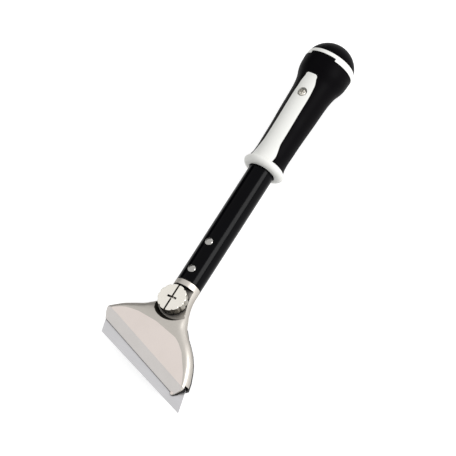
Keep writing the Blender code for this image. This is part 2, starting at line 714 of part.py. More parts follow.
def beside_tab():
    """Everything beyond the sleeve's end but its front tab."""
    half, far = TAB_WIDTH / 2, 2 * DOME_RADIUS
    outline = [
        (-far, -far), (far, -far), (far, far), (half, far), (half, 0), (-half, 0), (-half, far), (-far, far),
    ]
    return stack([[(x, y, z) for x, z in outline] for y in (BAND_START - CLEARANCE, BAND_END)])


def tab_seat(tool):
    """Hidden guide: room in the band for the sleeve's tab."""
    under = [(r - SLEEVE_WALL - CLEARANCE, y) for r, y in sphere_points(0, TAB_HEIGHT + CLEARANCE, 2)]
    under.insert(0, (under[0][0], BAND_START - OVERRUN))
    far = 2 * DOME_RADIUS
    shell = turned([*under, (far, under[-1][1]), (far, under[0][1])], TURNED_SIDES, True)
    seat = place("cut_tab_seat", shell, None, tool)
    half = TAB_WIDTH / 2 + CLEARANCE
    front = block((-half, half), (BAND_START - 2 * OVERRUN, BAND_END), (0, 2 * far))
    combine(seat, place("cut_tab_front", front, None, tool), "INTERSECT")
    return seat


def build_handle(tool, paint, white, rubber, plastic, steel):
    pipe = tube_body(TUBE_RADIUS, BORE_RADIUS, CLEARANCE, TUBE_END, TURNED_SIDES, True)
    tube = place("handle_tube", pipe, paint, tool)
    hole = RIVET_SHAFT / 2 + CLEARANCE
    for number, y in enumerate(RIVET_PLACES):
        combine(tube, cross_hole(f"cut_tube_{number}", tool, y, hole, -TUBE_DIAMETER, TUBE_DIAMETER))
    shaft_hole = SCREW_SHAFT / 2 + CLEARANCE
    recess_floor = grip_radius(SCREW_PLACE) + STRIP_PROUD - RECESS_DEPTH
    seat = recess_floor + CLEARANCE
    tip = seat - SCREW_LENGTH
    combine(tube, cross_hole("cut_tube_screw", tool, SCREW_PLACE, shaft_hole, 0, TUBE_DIAMETER))

    core = place("handle_core", core_body(), white, tool)
    combine(core, strip_blank(tool), "UNION")
    combine(core, tab_seat(tool))
    recess = RECESS_DIAMETER / 2
    combine(core, cross_hole("cut_recess", tool, SCREW_PLACE, recess, recess_floor, 2 * DOME_RADIUS))
    combine(core, cross_hole("cut_core_screw", tool, SCREW_PLACE, shaft_hole, 0, 2 * DOME_RADIUS))

    outside = grip_outline() + sphere_points(0, TAB_HEIGHT, 2)
    inside = [(r - SLEEVE_WALL, y) for r, y in outside[::-1]]
    sleeve = place("grip_sleeve", turned(outside + inside, TURNED_SIDES, True), rubber, tool)
    plan = prism(strip_outline(CLEARANCE), 0, 2 * DOME_RADIUS)
    combine(sleeve, place("cut_sleeve_strip", plan, None, tool))
    combine(sleeve, place("cut_sleeve_end", beside_tab(), None, tool))

    end = BAND_END - SPIGOT_LENGTH
    cap = turned([
        (0, end), (SPIGOT_RADIUS, end), (SPIGOT_RADIUS, CAP_BASE),
        *sphere_points(CAP_BASE - BAND_START, DOME_RADIUS, 8)[:-1], (0, TOOL_BACK),
    ], TURNED_SIDES, True)
    place("end_cap", cap, plastic, tool)

    plug_radius = BORE_RADIUS - CLEARANCE
    plug_start = SCREW_PLACE - ANCHOR_REACH
    plug = cylinder(plug_radius, plug_start, TUBE_END - CLEARANCE, TURNED_SIDES, True)
    anchor = place("screw_anchor", plug, plastic, tool)
    well = cross_hole("cut_anchor", tool, SCREW_PLACE, shaft_hole, tip - CLEARANCE, TUBE_DIAMETER)
    combine(anchor, well)
    build_screw(tool, steel, seat, tip)


def build_screw(tool, look, seat, tip):
    spot = (0, SCREW_PLACE, 0)
    shaft = SCREW_SHAFT / 2
    profile = [(0, tip), (shaft, tip), (shaft, seat)]
    profile += dome_points(SCREW_HEAD / 2, SCREW_HEAD_HEIGHT, seat)
    screw = place("handle_screw", turned(profile, SMALL_SIDES), look, tool, spot)
    top = seat + SCREW_HEAD_HEIGHT
    long, wide = SCREW_CROSS / 2, SCREW_CROSS_WIDTH / 2
    depth = (top - SCREW_CROSS_DEPTH, top + OVERRUN)
    for name, x, y in (("cut_cross_x", long, wide), ("cut_cross_y", wide, long)):
        combine(screw, place(name, block((-x, x), (-y, y), depth), None, tool, spot))


def build_rivets(tool, look):
    """Rivets through the tube and the shank, domed at both ends."""
    seat = TUBE_RADIUS + CLEARANCE
    dome = dome_points(RIVET_HEAD / 2, RIVET_DOME, seat)
    shaft = RIVET_SHAFT / 2
    top = [(shaft, seat), *dome]
    profile = [(r, -z) for r, z in top[::-1]] + top
    for name, y in zip(("front_rivet", "rear_rivet"), RIVET_PLACES):
        place(name, turned(profile, SMALL_SIDES), look, tool, (0, y, 0))


def main():
    for thing in list(bpy.data.objects):
        bpy.data.objects.remove(thing, do_unlink=True)
    cast = material("cast_metal", "c9c3bd", 0.38, 1.0)
    blade_steel = material("blade_steel", "c6c3cc", 0.25, 1.0)
    steel = material("bright_steel", "dad7cf", 0.2, 1.0)
    dark_steel = material("dark_steel", "2e2d2c", 0.45, 1.0)
    paint = material("black_paint", "0d0c0e", 0.2, 0.0)
    white = material("white_plastic", "e4e1dc", 0.45, 0.0)
    rubber = material("black_rubber", "121114", 0.6, 0.0)
    plastic = material("black_plastic", "0f0e11", 0.4, 0.0)
    middle = (TOOL_FRONT + TOOL_BACK) / 2
    tool = empty("tool_frame", None, (BLADE_OFFSET, -middle, REST_HEIGHT))
    plane = empty("blade_plane", tool, (0, 0, HEAD_RISE), (HEAD_TILT, 0, 0))
    build_head(tool, plane, cast)
    build_blade(plane, blade_steel)
    build_jaw(tool, plane, dark_steel, steel)
    build_clamp(tool, steel, dark_steel)
    build_handle(tool, paint, white, rubber, plastic, steel)
    build_rivets(tool, steel)


main()
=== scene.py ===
import math

import bmesh
import bpy
from mathutils import Matrix, Vector


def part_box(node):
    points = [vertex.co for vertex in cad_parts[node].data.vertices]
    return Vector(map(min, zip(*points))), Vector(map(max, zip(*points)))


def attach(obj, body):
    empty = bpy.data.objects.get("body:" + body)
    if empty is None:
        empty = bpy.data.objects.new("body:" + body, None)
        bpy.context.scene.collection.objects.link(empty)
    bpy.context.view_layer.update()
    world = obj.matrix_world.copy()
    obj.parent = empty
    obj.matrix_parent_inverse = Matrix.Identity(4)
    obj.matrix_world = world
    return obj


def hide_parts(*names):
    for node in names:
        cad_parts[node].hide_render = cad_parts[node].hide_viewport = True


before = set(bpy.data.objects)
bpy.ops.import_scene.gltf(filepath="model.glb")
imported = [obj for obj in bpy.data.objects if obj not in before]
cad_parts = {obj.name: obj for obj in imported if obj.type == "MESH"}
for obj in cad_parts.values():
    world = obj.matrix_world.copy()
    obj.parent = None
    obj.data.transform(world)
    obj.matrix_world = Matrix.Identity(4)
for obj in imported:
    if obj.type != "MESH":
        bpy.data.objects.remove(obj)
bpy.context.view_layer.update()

bl_info = {
    "name": "Hand scraper",
    "version": (1, 0, 0),
    "blender": (4, 5, 0),
    "location": "3D View > Sidebar > Scraper",
    "description": "Builds a long-handled hand scraper with a cast head and a strip blade",
    "category": "Object",
}

MM = 0.001
MICRON = 0.000001
# Clearance between neighbouring pieces, and how far a cutter runs past what it cuts
GAP = 0.0003
OVERRUN = 0.002
# Sides of a large and of a small round form
ROUND_SIDES = 96
SMALL_SIDES = 48
# Edges sharper than this stay sharp, in degrees
SHARP_ANGLE = 32
# Faces within this angle of one plane are joined in the casting, in degrees
FLAT_ANGLE = 0.5
# Faces within this angle of the blasted face or the bevel take its finish, in degrees
FACE_ANGLE = 0.7
# Faces of the knob whose normal rises less than this belong to its side
SIDE_RISE = 0.3
# Where the seat's wall starts and ends, with a little room, as shares of its height
WALL_SHARES = (-0.1, 1.1)
# The camera's right, up and back directions in the row frame
CAMERA_AXES = ((0.8295, 0.5081, -0.2317), (-0.3423, 0.7905, 0.5079), (0.4412, -0.3420, 0.8297))
SENSOR_WIDTH = 36
CLIP_RANGE = (0.01, 20)
# Each lamp's name, its place from the tool's origin, and its width
LAMPS = (("key", (0.83, 0.34, 0.46), 0.55), ("fill", (-0.2, 1.2, 0.6), 0.6))
# Most of the grain pattern's values lie between these two
PATTERN_LOW, PATTERN_HIGH = 0.1, 0.4

# Grip outline: shares of the grip's length, and of the radius between waist and dome
GRIP_SHARES = (
    (0, 0.22), (0.02, 0.13), (0.05, 0.045), (0.085, 0.01), (0.13, 0), (0.187, 0.021),
    (0.327, 0.063), (0.503, 0.175), (0.609, 0.224), (0.715, 0.287), (0.786, 0.42),
    (0.821, 0.538), (0.857, 0.72), (0.892, 0.874), (0.928, 0.951), (0.963, 0.98), (1, 1),
)
# Collar outline: shares of the collar's length, and of the radius between waist and collar
COLLAR_SHARES = (
    (0, -0.35), (0.05, 0.1), (0.16, 0.5), (0.33, 0.82), (0.56, 1), (0.77, 0.86), (1, 0.5),
)
# Front strip: shares of the grip's length, and of the waist's radius
STRIP_SHARES = (
    (-0.02, 0.66), (0, 0.655), (0.03, 0.65), (0.065, 0.635), (0.118, 0.57), (0.168, 0.516),
    (0.25, 0.51), (0.45, 0.5), (0.62, 0.5), (0.71, 0.467), (0.755, 0.438), (0.8, 0.35),
)
# Neck outline: shares of the neck's length, and of its flare
NECK_SHARES = ((0, 0), (0.32, 0.02), (0.49, 0.13), (0.73, 0.46), (1, 1))
# Head outline, then the edge of its flat face: shares of the blade's length across and of the
# blade's reach along, and last the height where the side wall starts to roll over, as a share
# of the head's thickness
LEFT_END_SHARES = (
    (-0.476, -0.838, -0.452, -0.838, 0.4), (-0.483, -0.742, -0.45, -0.73, 0.4),
    (-0.494, -0.615, -0.443, -0.622, 0.4),
)
LEFT_SHARES = (
    (-0.482, -0.599, -0.428, -0.603, 0.4), (-0.425, -0.547, -0.385, -0.575, 0.35),
    (-0.37, -0.501, -0.333, -0.55, 0.3), (-0.295, -0.455, -0.27, -0.539, 0.25),
    (-0.222, -0.413, -0.21, -0.534, 0.15), (-0.176, -0.369, -0.15, -0.536, 0),
    (-0.146, -0.323, -0.088, -0.543, -0.4), (-0.122, -0.265, -0.03, -0.561, -0.75),
)
RIGHT_SHARES = (
    (0.122, -0.262, 0.055, -0.592, -0.75), (0.143, -0.335, 0.114, -0.609, -0.5),
    (0.167, -0.398, 0.15, -0.624, -0.2), (0.199, -0.492, 0.19, -0.648, 0.1),
    (0.246, -0.576, 0.24, -0.694, 0.25), (0.302, -0.655, 0.291, -0.763, 0.3),
    (0.352, -0.738, 0.328, -0.834, 0.3), (0.394, -0.832, 0.362, -0.911, 0.3),
    (0.42, -0.915, 0.386, -0.971, 0.3), (0.446, -1.03, 0.408, -1.045, 0.3),
    (0.457, -1.127, 0.424, -1.11, 0.3),
)
RIGHT_END_SHARES = ((0.368, -1.219, 0.366, -1.214, 0.4), (0.28, -1.311, 0.278, -1.306, 0.4))


def length(label, note, value):
    """Length property, in metres."""
    return bpy.props.FloatProperty(name=label, description=note, default=value, unit="LENGTH", precision=5)


def turn(label, note, degrees):
    """Angle property, given in degrees."""
    return bpy.props.FloatProperty(
        name=label, description=note, default=math.radians(degrees), subtype="ANGLE",
    )


def share(label, note, value):
    """Share of another size."""
    return bpy.props.FloatProperty(name=label, description=note, default=value, subtype="FACTOR")


def linear(code):
    """Linear colour of an sRGB hex code."""
    values = [int(code[i:i + 2], 16) / 255 for i in (0, 2, 4)]
    return tuple(v / 12.92 if v <= 0.04045 else ((v + 0.055) / 1.055) ** 2.4 for v in values)


def colour(label, note, code):
    """Colour property, given as an sRGB hex code."""
    return bpy.props.FloatVectorProperty(
        name=label, description=note, default=linear(code), subtype="COLOR", size=3, min=0, max=1,
    )


class ScraperHead(bpy.types.PropertyGroup):
    tilt: turn("Tilt", "Angle between the tube's axis and the head's flat face", 13)
    rise: length("Rise", "Height of the blade's plane above the axis at the ring", 0.0095)
    thickness: length("Thickness", "Head's height above the blade", 0.008)
    skirt: length("Skirt", "Depth of the uncut fan below the blade", 0.012)
    lip_skew: turn("Lip skew", "Slant of the head's front lip", 22.3)
    lip_ahead: length("Lip ahead", "Lip's distance in front of the blade's middle", 0.00065)
    lip_height: length("Lip height", "Height of the lip's edge", 0.0008)
    bevel_width: length("Bevel width", "Depth of the front bevel", 0.0098)
    ring: length("Ring", "Length of the ring at the tube", 0.0047)
    neck: length("Neck", "Length of the round neck", 0.025)
    neck_flare: length("Neck flare", "Growth of the neck's radius towards the fan", 0.004)
    arm_drop: length("Arm drop", "How far the neck's arms hang below the axis", 0.005)
    saddle_floor: length("Saddle floor", "Height of the knob's seat above the axis", 0.005)
    saddle_rim: length("Saddle rim", "Height of the seat's rim above the axis", 0.0105)
    floor_radius: length("Floor radius", "Radius of the seat's floor at the fan", 0.0195)
    floor_side: length("Floor side", "Floor's middle, to the right of the axis", 0.0035)
    floor_back: length("Floor back", "Floor's middle, ahead of the ring's end", 0.0135)
    rim_radius: length("Rim radius", "Radius of the seat's rim at the fan", 0.0183)
    rim_side: length("Rim side", "Rim's middle, to the right of the axis", 0.0023)
    rim_back: length("Rim back", "Rim's middle, ahead of the ring's end", 0.02)
    neck_seat: length("Neck seat", "Depth of the neck's underside below the axis", 0.001)
    channel: length("Channel", "Width of the jaw's channel in the neck", 0.016)
    channel_start: length("Channel start", "Distance from the ring's end to the channel", 0.0062)
    lip_bar: length("Lip bar", "Width of the bar that presses on the blade", 0.0035)
    end_roof: length("End roof", "Wall over the hollow at the right end", 0.0019)
    end_hollow: length("End hollow", "Depth of the hollow at the right end", 0.026)
    hollow_back: length("Hollow back", "How far behind the lip that hollow reaches", 0.0122)
    nub_radius: length("Nub radius", "Radius of the nub at the lip's right end", 0.0017)
    nub_height: length("Nub height", "Height of the nub above the blade", 0.0016)
    nub_place: share("Nub place", "Nub's distance from the strip's middle, in strip lengths", 0.392)
    edge_round: length("Edge round", "Rounding of the casting's edges", 0.0003)


class ScraperBlade(bpy.types.PropertyGroup):
    length: length("Length", "Length of the strip", 0.1)
    width: length("Width", "Width of the strip", 0.018)
    thickness: length("Thickness", "Thickness of the strip", 0.0005)
    slant: turn("End slant", "Angle of the strip's ends", 60)
    skew: turn("Skew", "Slant of the cutting edge across the tool", 20.9)
    offset: length("Offset", "Distance of the strip's middle to the left", 0.0015)
    reach: length("Reach", "Distance of the strip's middle from the tube", 0.0716)
    edge_depth: length("Edge depth", "Width of the ground edge", 0.0015)
    edge_thickness: length("Edge thickness", "Thickness left at the edge", 0.00006)


class ScraperClamp(bpy.types.PropertyGroup):
    reach: length("Reach", "Distance from the tube to the knob's axis", 0.019)
    diameter: length("Diameter", "Knob's diameter", 0.024)
    height: length("Height", "Knob's height", 0.007)
    chamfer: length("Chamfer", "Bevel round the knob's face", 0.0005)
    scallops: bpy.props.IntProperty(name="Scallops", description="Hollows round the knob", default=12)
    scallop_depth: length("Scallop depth", "Depth of each hollow", 0.0007)
    slot_width: length("Slot width", "Width of the coin slot", 0.0015)
    slot_depth: length("Slot depth", "Depth of both slots", 0.0022)
    cross_width: length("Cross width", "Width of the short slot", 0.0019)
    cross_length: length("Cross length", "Length of the short slot", 0.0084)
    washer_radius: length("Washer radius", "Outer radius of the washer", 0.0108)
    washer_thickness: length("Washer thickness", "Thickness of the washer", 0.001)
    slot_round: length("Slot round", "Rounding of the slots' edges", 0.00012)
    stud_bore: length("Stud bore", "Radius of the hole for the stud", 0.0033)


class ScraperHandle(bpy.types.PropertyGroup):
    tube_radius: length("Tube radius", "Outer radius of the tube", 0.011)
    tube_wall: length("Tube wall", "Wall of the tube", 0.0015)
    free_tube: length("Free tube", "Tube between the ring and the collar", 0.1157)
    rivet_first: length("First rivet", "Distance from the ring to the first rivet", 0.0108)
    rivet_pitch: length("Rivet pitch", "Distance between the rivets", 0.0271)
    rivet_head: length("Rivet head", "Diameter of a rivet's head", 0.0066)
    rivet_dome: length("Rivet dome", "Height of a rivet's head", 0.0013)
    rivet_shaft: length("Rivet shaft", "Radius of a rivet's shaft", 0.002)
    core_wall: length("Core wall", "Wall of the core under the sleeve", 0.00125)
    sleeve_wall: length("Sleeve wall", "Wall of the soft sleeve", 0.0018)
    collar_radius: length("Collar radius", "Largest radius of the collar", 0.0181)
    collar_length: length("Collar length", "Length of the collar", 0.0065)
    mouth_flare: length("Mouth flare", "Growth of the bore at the collar's mouth", 0.0004)
    mouth_depth: length("Mouth depth", "Depth of the flared mouth", 0.003)
    grip_length: length("Grip length", "Length of the soft sleeve", 0.1002)
    band_width: length("Band width", "Width of the pale band", 0.0057)
    dome_radius: length("Dome radius", "Radius of the butt's dome", 0.0217)
    strip_proud: length("Strip proud", "How far the strip stands out of the sleeve", 0.0003)
    strip_end: length("Strip end", "Strip's length beyond the screw", 0.0175)
    strip_corner: length("Strip corner", "Radius of the corners at the strip's end", 0.002)
    tab_width: length("Tab width", "Width of the sleeve's front tab", 0.022)
    tab_height: length("Tab height", "How far the tab laps over the band", 0.002)
    edge_round: length("Edge round", "Rounding of the core's and the sleeve's edges", 0.0004)
    screw_share: share("Screw place", "Screw's place along the grip", 0.656)
    recess_radius: length("Recess radius", "Radius of the screw's recess", 0.00415)
    recess_depth: length("Recess depth", "Depth of the screw's recess", 0.0025)
    screw_radius: length("Screw radius", "Radius of the screw's head", 0.0034)
    screw_height: length("Screw height", "Height of the screw's head", 0.0018)
    screw_hole: length("Screw hole", "Radius of the hole for the screw", 0.00205)
    cross_length: length("Cross length", "Length of the screw's cross recess", 0.0042)
    cross_width: length("Cross width", "Width of the screw's cross recess", 0.0009)
    cross_depth: length("Cross depth", "Depth of the screw's cross recess", 0.0011)


class ScraperFinish(bpy.types.PropertyGroup):
    cast: colour("Cast metal", "Satin die casting", "c0bbb4")
    cast_face: colour("Cast face", "Blasted flat face of the casting", "e0d6d0")
    bevel: colour("Bevel", "Ground bevel of the casting", "c8c4c1")
    # Dark colour of the seat's wall and the hollow end: painted shade
    hollow_shade: colour("Stain", "Unpolished hollows of the casting", "55524b")
    blade: colour("Blade", "Ground blade steel", "cdccce")
    plated: colour("Plated steel", "Bright plated steel", "eae6dd")
    # Darker colour of the knob's scallops: painted dark reflection
    knob_side_shade: colour("Grip edge", "Scalloped side of the knob", "97938a")
    fixing: colour("Fixing", "Zinc-plated screw", "dedad0")
    dark: colour("Dark steel", "Black oxide steel", "1d1c1c")
    paint: colour("Tube paint", "Gloss black paint", "050507")
    rivet: colour("Rivets", "Drawn aluminium", "a9a7a4")
    white: colour("Pale plastic", "Off-white moulded plastic", "e1e1dd")
    soft: colour("Soft grip", "Black moulded elastomer", "070608")
    cap: colour("Cap plastic", "Black moulded plastic", "060507")
    floor: colour("Floor", "Pale studio floor", "f4f4f4")


class ScraperStage(bpy.types.PropertyGroup):
    floor: length("Floor", "Half the floor's width", 3.0)
    floor_glow: share("Floor glow", "Lift of the floor to white where it is seen", 0.5)
    screen_width: length("Screen width", "Width of the black screen", 1.2)
    screen_height: length("Screen height", "Height of the black screen", 0.6)
    screen_distance: length("Screen distance", "From the tool to the black screen", 0.9)
    screen_turn: turn("Screen turn", "Direction of the black screen, from behind to the left", 48)
    sky: share("Sky", "Strength of the sky's even light", 0.72)
    key: bpy.props.FloatProperty(name="Key", description="Key lamp", default=7, unit="POWER")
    fill: bpy.props.FloatProperty(name="Fill", description="Fill lamp", default=0.6, unit="POWER")
    lens: bpy.props.FloatProperty(
        name="Lens", description="Focal length in mm", default=297.1, unit="CAMERA",
    )
    camera: bpy.props.FloatVectorProperty(
        name="Camera", description="Camera's place", default=(1.3356, -1.0470, 2.5270),
        subtype="TRANSLATION", size=3, precision=4,
    )


KINDS = {
    "head": ScraperHead, "blade": ScraperBlade, "clamp": ScraperClamp, "handle": ScraperHandle,
    "finish": ScraperFinish, "stage": ScraperStage,
}


def settings(kind):
    """The scene's own settings of one kind, such as head or blade."""
    return getattr(bpy.context.scene, f"scraper_{kind}")


# Shapes

def shape(name, bm, matrix=None):
    """Object from a bmesh, in the tool's own frame."""
    bmesh.ops.recalc_face_normals(bm, faces=bm.faces)
    mesh = bpy.data.meshes.new(name)
    bm.to_mesh(mesh)
    bm.free()
    if matrix:
        mesh.transform(matrix)
    thing = bpy.data.objects.new(name, mesh)
    bpy.context.scene.collection.objects.link(thing)
    return thing


def stack(rings):
    """Closed body through rings of equally many points, with both ends capped."""
    bm = bmesh.new()
    loops = [[bm.verts.new(point) for point in ring] for ring in rings]
    count = len(loops[0])
    for low, high in zip(loops, loops[1:]):
        for i in range(count):
            j = (i + 1) % count
            bm.faces.new((low[i], low[j], high[j], high[i]))
    bm.faces.new(loops[0][::-1])
    bm.faces.new(loops[-1])
    return bm


def prism(outline, low, high):
    """Upright prism from an outline of (x, y) points."""
    return stack([[(x, y, z) for x, y in outline] for z in (low, high)])


def block(x_range, y_range, z_range):
    """Box between two limits along each axis."""
    (x0, x1), (y0, y1) = x_range, y_range
    return prism([(x0, y0), (x1, y0), (x1, y1), (x0, y1)], *z_range)


def side_prism(profile, start, end):
    """Prism along X from a profile of (y, z) points."""
    return stack([[(x, y, z) for y, z in profile] for x in (start, end)])


def turned(profile, sides=ROUND_SIDES, along=False):
    """Body turned about Z, or along the tool's Y, from a closed loop of (radius, height) points."""
    bm = bmesh.new()
    angles = [2 * math.pi * i / sides for i in range(sides)]

    def point(radius, angle, height):
        x, y = radius * math.cos(angle), radius * math.sin(angle)
        return bm.verts.new((x, height, y) if along else (x, y, height))

    rings = []
    for radius, height in profile:
        if radius:
            rings.append([point(radius, angle, height) for angle in angles])
        else:
            rings.append([point(0, 0, height)] * sides)
    for low, high in zip(rings, rings[1:] + rings[:1]):
        for i in range(sides):
            j = (i + 1) % sides
            corners = list(dict.fromkeys((low[i], low[j], high[j], high[i])))
            if len(corners) > 2:
                bm.faces.new(corners)
    return bm


def cylinder(radius, low, high):
    """Upright round bar."""
    return turned([(0, low), (radius, low), (radius, high), (0, high)], SMALL_SIDES)


def settle(thing):
    """Applies the object's modifiers to its mesh."""
    bpy.context.view_layer.update()
    evaluated = thing.evaluated_get(bpy.context.evaluated_depsgraph_get())
    mesh = bpy.data.meshes.new_from_object(evaluated)
    old = thing.data
    thing.modifiers.clear()
    thing.data = mesh
    bpy.data.meshes.remove(old)


def carve(target, cutter, operation="DIFFERENCE"):
    """Cuts, joins or trims one object by another, which is then gone."""
    step = target.modifiers.new("carve", "BOOLEAN")
    step.operation = operation
    step.solver = "EXACT"
    step.object = cutter
    settle(target)
    bpy.data.meshes.remove(cutter.data)


def soften(thing, width, segments=2, angle=35):
    """Small rounding on the edges that are sharper than an angle in degrees."""
    step = thing.modifiers.new("round", "BEVEL")
    step.width = width
    step.segments = segments
    step.limit_method = "ANGLE"
    step.angle_limit = math.radians(angle)
    step.use_clamp_overlap = True
    settle(thing)


def tool_origin():
    """Where the tool frame's zero lies in the row frame: on the tube's axis at its lower end."""
    low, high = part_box("handle_tube")
    return Vector(((low[0] + high[0]) / 2, low[1] - GAP, (low[2] + high[2]) / 2))


def coat(thing, *looks):
    """Gives an object its materials, in the order of their numbers."""
    thing.data.materials.clear()
    for look in looks:
        thing.data.materials.append(look)


def fit(thing, looks, body, node):
    """Gives a piece its finish and its place, and ties it to the body that carries it."""
    coat(thing, *looks)
    thing.data.shade_smooth()
    thing.data.set_sharp_from_angle(angle=math.radians(SHARP_ANGLE))
    # The largest faces alone set the normals, so that flat faces shade flat
    flat = thing.modifiers.new("flat_faces", "WEIGHTED_NORMAL")
    flat.keep_sharp = True
    flat.weight = 100
    thing.location = tool_origin()
    bpy.context.view_layer.update()
    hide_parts(node)
    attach(thing, body)


def smooth_run(rows, steps=8):
    """Rows with more rows between them on a smooth curve through them."""
    padded = [rows[0], *rows, rows[-1]]
    result = []
    for before, start, end, after in zip(padded, padded[1:], padded[2:], padded[3:]):
        for step in range(steps):
            t = step / steps
            weights = (
                (-t + 2 * t**2 - t**3) / 2,
                (2 - 5 * t**2 + 3 * t**3) / 2,
                (t + 4 * t**2 - 3 * t**3) / 2,
                (t**3 - t**2) / 2,
            )
            parts = zip(before, start, end, after)
            result.append(tuple(sum(w * v for w, v in zip(weights, part)) for part in parts))
    return result + [rows[-1]]


def arc(centre, radius, start, end, count):
    """Points on an arc from one angle to another."""
    steps = [start + (end - start) * i / count for i in range(count + 1)]
    return [(centre[0] + radius * math.cos(a), centre[1] + radius * math.sin(a)) for a in steps]


def dome_points(radius, height, base, count):
    """Points (radius, z) from a domed head's rim up to its crown."""
    steps = [math.pi / 2 * i / count for i in range(count + 1)]
    points = [(radius * math.cos(a), base + height * math.sin(a)) for a in steps]
    return points[:-1] + [(0, base + height)]


# Head

def blade_plane():
    """Frame whose X and Y lie in the blade's plane, below the ring."""
    head = settings("head")
    return Matrix.Translation((0, 0, head.rise)) @ Matrix.Rotation(head.tilt, 4, "X")


def skewed(skew):
    """Frame in the blade's plane at the strip's middle, turned by a skew."""
    blade = settings("blade")
    centre = Matrix.Translation((-blade.offset, -blade.reach, 0))
    return blade_plane() @ centre @ Matrix.Rotation(-skew, 4, "Z")


def plane_point(depth, height):
    """Tool-frame (y, z) of a point of the blade plane's frame."""
    head = settings("head")
    return (
        depth * math.cos(head.tilt) - height * math.sin(head.tilt),
        head.rise + depth * math.sin(head.tilt) + height * math.cos(head.tilt),
    )


def fan_body(rounds=14):
    """Fan of the head: upright wall that rolls over in a quarter ellipse to the flat face."""
    head, blade = settings("head"), settings("blade")
    rows = [*LEFT_END_SHARES, *smooth_run(LEFT_SHARES), *smooth_run(RIGHT_SHARES), *RIGHT_END_SHARES]
    scales = (blade.length, blade.reach, blade.length, blade.reach, head.thickness)
    rows = [[part * scale for part, scale in zip(row, scales)] for row in rows]
    rings = [[(x, y, -head.skirt) for x, y, *_ in rows]]
    for step in range(rounds):
        angle = math.pi / 2 * step / (rounds - 1)
        inward, upward = 1 - math.cos(angle), math.sin(angle)
        rings.append([
            (x + (fx - x) * inward, y + (fy - y) * inward, low + (head.thickness - low) * upward)
            for x, y, fx, fy, low in rows
        ])
    bm = stack(rings)
    bmesh.ops.triangulate(bm, faces=bm.faces)
    return bm


def bevel_height(depth):
    """Height of the front bevel at a distance behind the lip."""
    head = settings("head")
    return head.lip_height + (head.thickness - head.lip_height) * depth / head.bevel_width


def underside_cutter():
    """Everything under the head's floor: level at the neck, then along the blade's underside."""
    head, blade = settings("head"), settings("blade")
    far = -blade.reach - blade.length
    bend = (-head.neck_seat - head.rise + blade.thickness * math.cos(head.tilt)) / math.sin(head.tilt)
    line = [
        (GAP, -head.neck_seat), plane_point(bend, -blade.thickness), plane_point(far, -blade.thickness),
    ]
    below = [(line[-1][0], -blade.length), (line[0][0], -blade.length)]
    return side_prism([*line, *below], -blade.length, blade.length)


def front_cutter():
    """Everything in front of the lip and above its bevel."""
    head, blade = settings("head"), settings("blade")
    behind = 2 * head.bevel_width
    low, top = -head.skirt - OVERRUN, bevel_height(behind)
    return side_prism([
        (-head.lip_ahead, low), (-head.lip_ahead, head.lip_height),
        (behind - head.lip_ahead, top), (-blade.length, top), (-blade.length, low),
    ], -blade.length, blade.length)


def end_hollow():
    """Hollow under the bevel and the edge of the fan, open at the right end of the lip."""
    head, blade = settings("head"), settings("blade")
    depths = (head.lip_bar, head.bevel_width, head.hollow_back)
    start, bend, end = (depth - head.lip_ahead for depth in depths)
    profile = [
        (start, -head.skirt), (start, bevel_height(head.lip_bar) - head.end_roof),
        (bend, head.thickness - head.end_roof), (end, head.thickness - head.end_roof),
        (end, -head.skirt),
    ]
    return side_prism(profile, blade.length / 2 - head.end_hollow, blade.length)


def saddle_cutter():
    """Knob's seat: open at both sides, with a wall that leans back towards the fan."""
    head = settings("head")
    rings = []
    for side, back, radius, height in (
        (head.floor_side, head.floor_back, head.floor_radius, head.saddle_floor),
        (head.rim_side, head.rim_back, head.rim_radius, head.saddle_rim),
        (head.rim_side, head.rim_back, head.rim_radius, 2 * head.saddle_rim),
    ):
        outline = arc((side, -back), radius, math.pi, 2 * math.pi, SMALL_SIDES)
        outline += [(side + radius, -head.ring), (side - radius, -head.ring)]
        rings.append([(x, y, height) for x, y in outline])
    bm = stack(rings)
    bmesh.ops.triangulate(bm, faces=bm.faces)
    return bm


def lip_nub():
    """Small round nub at the right end of the lip, over the blade."""
    head, blade = settings("head"), settings("blade")
    body = turned([
        (0, 2 * GAP), (head.nub_radius, 2 * GAP), (head.nub_radius, head.nub_height - GAP),
        (head.nub_radius - GAP, head.nub_height), (0, head.nub_height),
    ], SMALL_SIDES)
    spot = Matrix.Translation((head.nub_place * blade.length, GAP - head.lip_ahead, 0))
    return shape("nub", body, skewed(head.lip_skew) @ spot)


def cast_fan():
    """Fan with its blade slot, front bevel, end hollow and nub."""
    head, blade = settings("head"), settings("blade")
    fan = shape("fan", fan_body(), blade_plane())
    carve(fan, shape("underside", underside_cutter()))
    slot = block(
        (-blade.length, blade.length), (-blade.length, blade.width / 2 + GAP),
        (-head.skirt - OVERRUN, GAP),
    )
    carve(fan, shape("slot", slot, skewed(blade.skew)))
    carve(fan, shape("front", front_cutter(), skewed(head.lip_skew)))
    carve(fan, shape("end", end_hollow(), skewed(head.lip_skew)))
    carve(fan, lip_nub(), "UNION")
    return fan


def neck_stem():
    """Round neck with the ring at the tube and the start of the shank inside it."""
    head, handle = settings("head"), settings("handle")
    tube = handle.tube_radius
    neck = [(tube + r * head.neck_flare, -y * head.neck) for y, r in smooth_run(NECK_SHARES)]
    shank = tube - handle.tube_wall - GAP
    return turned([
        (0, -head.neck), *neck[::-1], (shank, 0), (shank, OVERRUN), (0, OVERRUN),
    ], along=True)


